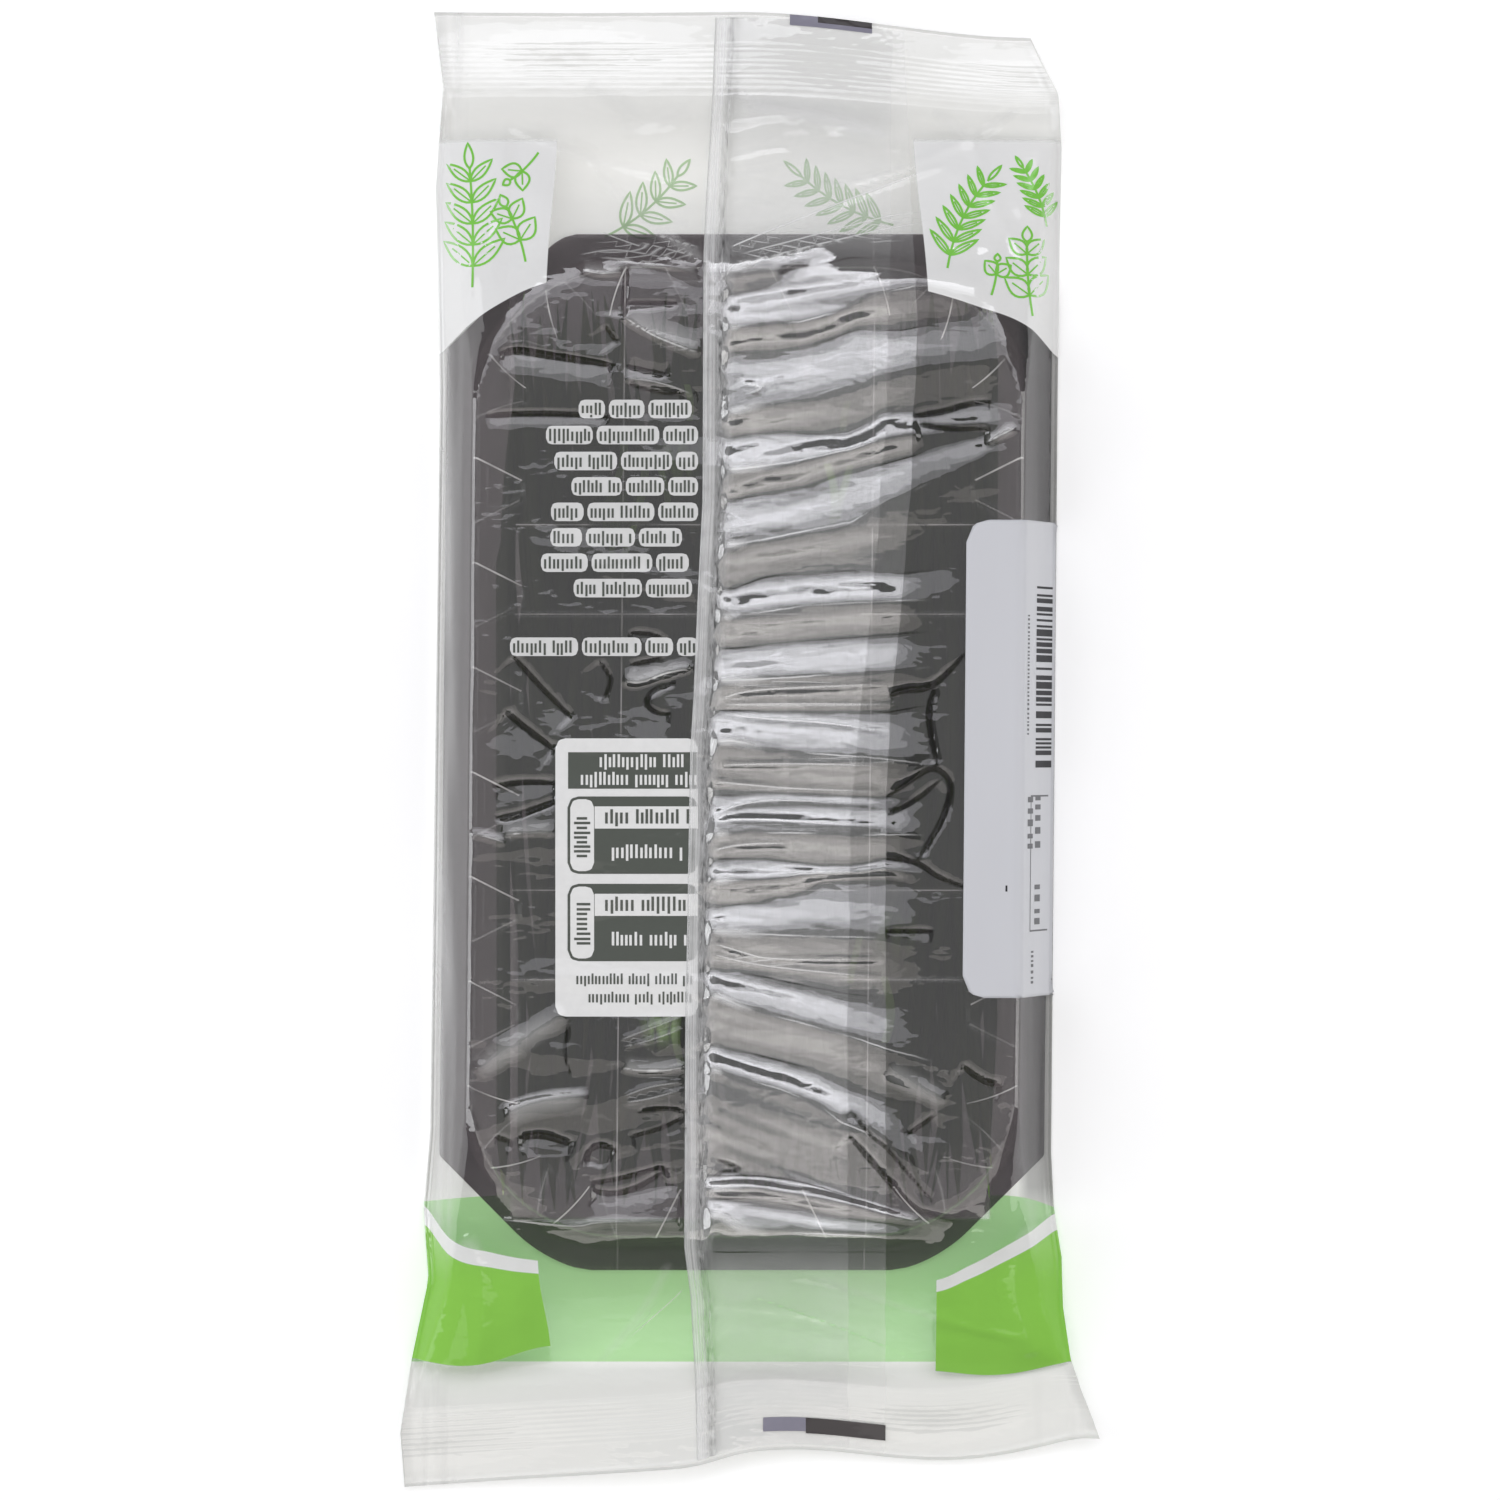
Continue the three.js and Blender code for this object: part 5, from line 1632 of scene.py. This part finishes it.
class LabelWrap:
    """The surface of the label: down from its edge on the back, round the side and a little way under."""

    def __init__(self, sizes):
        self.form = PackForm(sizes)
        self.y = sizes.label_y
        edge = self.form.right(self.y)
        over = np.concatenate([np.linspace(sizes.label_start, self.form.base_x - 3 * MM, 20),
                               np.linspace(self.form.base_x - 2.9 * MM, edge, 60)])
        under = np.linspace(edge - 0.1 * MM, 47.5 * MM, 12)
        x = np.concatenate([over, under])
        heights = np.concatenate([
            self.form.back(over, over * 0 + self.y),
            self.form.face(under, under * 0 + self.y),
        ])
        steps = np.hypot(np.diff(x), np.diff(heights))
        self.run = np.concatenate([[0], np.cumsum(steps)])
        self.x, self.z = x, heights
        turn_x, turn_z = np.gradient(x, self.run), np.gradient(heights, self.run)
        size = np.hypot(turn_x, turn_z)
        self.out_x, self.out_z = -turn_z / size, turn_x / size
        self.length = self.run[-1]

    def on_label(self, along, y, lift):
        """A place at a distance along the label's width from its edge on the back."""
        lines = (self.x, self.z, self.out_x, self.out_z)
        x, z, out_x, out_z = (np.interp(along, self.run, line) for line in lines)
        size = np.hypot(out_x, out_z)
        drift = self.form.right(y) - self.form.right(self.y)
        return x + drift + out_x / size * lift, y, z + out_z / size * lift


class PACK_OT_label(PackOperator, bpy.types.Operator):
    """Makes the price label and its plain bars"""
    bl_idname = "pack.label"
    bl_label = "Price label"

    def build(self, sizes, colours):
        wrap = LabelWrap(sizes)
        half = sizes.label_length / 2
        paper = bmesh.new()
        whole = (0, wrap.y - half, wrap.length, wrap.y + half)
        add_patch(paper, whole, lambda x, y: wrap.on_label(x, y, 0.32 * MM), 4 * MM, 0.8 * MM)
        label = finish_piece("price_label", paper, [paper_material(colours)])
        sheet = label.modifiers.new("Paper", "SOLIDIFY")
        sheet.thickness = 0.15 * MM
        sheet.offset = -1.0
        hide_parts("label")

        printing = bmesh.new()
        draw = np.random.default_rng(5)

        def on_label(x, y):
            return wrap.on_label(x, y, 0.35 * MM)

        def patch(low_x, low_y, high_x, high_y, ink=0):
            box = tuple(edge * MM for edge in (low_x, low_y, high_x, high_y))
            add_patch(printing, box, on_label, cell=0.7 * MM, material=ink)

        # the bars, then groups of dashes (place across, top, height, length), three rules and a speck
        y, stop = -3.2, 29.4
        while y < stop:
            bar, gap = draw.choice((0.42, 0.84, 1.26), 2, p=(0.5, 0.3, 0.2))
            patch(19.4, y, 31.5, y + bar)
            y += bar + gap * 0.8
        dashes = [(12.5, 24.5, 1.4, 22), (13.5, -8.5, 4.2, 9), (19.5, -8.5, 4.2, 10),
                  (19.5, -24.5, 4.2, 8), (17, -36.5, 2, 6)]
        for start, top, height, run in dashes:
            end = top - run
            while top > end:
                step = height * draw.uniform(0.16, 0.3)
                patch(start, top - step, start + height, top, 1)
                top -= step * 2.1
        low_x, low_y, high_x, high_y = 15.8, -33, 29, -8.2
        patch(low_x, low_y, low_x + 0.5, high_y, 1)
        patch(low_x, high_y - 0.3, high_x, high_y, 1)
        patch(low_x, low_y, high_x, low_y + 0.3, 1)
        patch(7.6, -25.6, 7.95, -24.5)
        dashes_ink = mix(np.array(colours.label_ink), np.array(colours.label_paper), 0.25)
        inks = [
            ink_material("label bars", colours.label_ink, 0.6, 0.0),
            ink_material("label dashes", dashes_ink, 0.6, 0.0),
        ]
        finish_piece("label_print", printing, inks)


class PACK_OT_stage(PackOperator, bpy.types.Operator):
    """Sets the floor, the soft lights and the camera above the pack"""
    bl_idname = "pack.stage"
    bl_label = "Stage"

    def build(self, sizes, colours):
        scene = bpy.context.scene
        floor = bmesh.new()
        bmesh.ops.create_grid(floor, x_segments=1, y_segments=1, size=4.0)
        bmesh.ops.translate(floor, verts=floor.verts[:], vec=(0, 0, -0.15 * MM))
        mesh = bpy.data.meshes.new("floor")
        floor.to_mesh(mesh)
        floor.free()
        mesh.materials.append(floor_material(colours))
        piece = bpy.data.objects.new("floor", mesh)
        scene.collection.objects.link(piece)

        # from the middle out: angle from straight above, angle that it spans, radiance far and near
        rings = ((14, 11, 1.2, 0.8), (24.5, 10, 2.15, 1.1), (35, 11, 2.9, 1.5))
        for angle, span, far, near in rings:
            self.softbox(f"far softbox {angle}", angle, span, 1, far, (0.95, 0.95, 1.0))
            self.softbox(f"near softbox {angle}", angle, span, -1, near, (1.0, 0.955, 0.92))
        self.lamp("left softbox", (-1.35, 0.0, 0.62), (0.55, 1.7), 2.9, (0.97, 0.98, 1.0))
        self.lamp("right softbox", (1.35, 0.0, 0.62), (0.55, 1.7), 2.0, (1.0, 0.99, 0.97))
        self.lamp("overhead panel", (0.0, 0.0, 2.3), (1.5, 0.72), 0.36, (1.0, 1.0, 1.0))

        world = bpy.data.worlds.new("studio")
        world.use_nodes = True
        world.node_tree.nodes["Background"].inputs["Color"].default_value = (0.96, 0.98, 1.0, 1)
        world.node_tree.nodes["Background"].inputs["Strength"].default_value = 0.22
        scene.world = world
        scene.view_settings.view_transform = "Standard"

        frame_width, distance, level = 273.7 * MM, 1.6, 8 * MM
        camera_data = bpy.data.cameras.new("camera")
        camera_data.sensor_width = 36
        camera_data.lens = camera_data.sensor_width * (distance - level) / frame_width
        camera = bpy.data.objects.new("camera", camera_data)
        camera.location = (0, 0, distance)
        scene.collection.objects.link(camera)
        scene.camera = camera

    def softbox(self, name, angle, span, side, radiance, tint):
        """A wide softbox at an angle from straight above, towards one end of the pack."""
        away = 1.7
        turn = math.radians(angle)
        size = (2.0, 2 * away * math.tan(math.radians(span / 2)))
        self.lamp(name, (0, side * away * math.sin(turn), away * math.cos(turn)), size, radiance, tint)

    def lamp(self, name, location, size, radiance, tint):
        """A soft area light that faces the pack, as bright as a surface of the given radiance."""
        data = bpy.data.lights.new(name, "AREA")
        data.shape = "RECTANGLE"
        data.size, data.size_y = size
        data.energy = radiance * math.pi * size[0] * size[1]
        data.color = tint
        lamp = bpy.data.objects.new(name, data)
        lamp.location = location
        lamp.rotation_euler = (-Vector(location)).to_track_quat("-Z", "Y").to_euler()
        bpy.context.scene.collection.objects.link(lamp)


class PACK_PT_panel(bpy.types.Panel):
    """Lists the pack's sizes, colours and pieces in the sidebar"""
    bl_label = "Chive tray pack"
    bl_idname = "PACK_PT_panel"
    bl_space_type = "VIEW_3D"
    bl_region_type = "UI"
    bl_category = "Chives"

    def draw(self, context):
        for group in (context.scene.pack_sizes, context.scene.pack_colours):
            column = self.layout.column(align=True)
            for name in group.__annotations__:
                column.prop(group, name)
        for operator in OPERATORS:
            self.layout.operator(operator.bl_idname)


OPERATORS = (
    PACK_OT_film, PACK_OT_fin, PACK_OT_tray, PACK_OT_chives, PACK_OT_sprigs, PACK_OT_panel,
    PACK_OT_marks, PACK_OT_label, PACK_OT_stage,
)
CLASSES = (PackSizes, PackColours, *OPERATORS, PACK_PT_panel)


def register():
    for one in CLASSES:
        bpy.utils.register_class(one)
    bpy.types.Scene.pack_sizes = bpy.props.PointerProperty(type=PackSizes)
    bpy.types.Scene.pack_colours = bpy.props.PointerProperty(type=PackColours)


def unregister():
    del bpy.types.Scene.pack_colours
    del bpy.types.Scene.pack_sizes
    for one in reversed(CLASSES):
        bpy.utils.unregister_class(one)


def main():
    """Builds the whole pack and its stage."""
    register()
    bpy.ops.pack.film()
    bpy.ops.pack.fin()
    bpy.ops.pack.tray()
    bpy.ops.pack.chives()
    bpy.ops.pack.sprigs()
    bpy.ops.pack.panel()
    bpy.ops.pack.marks()
    bpy.ops.pack.label()
    bpy.ops.pack.stage()


if __name__ == "__main__":
    main()
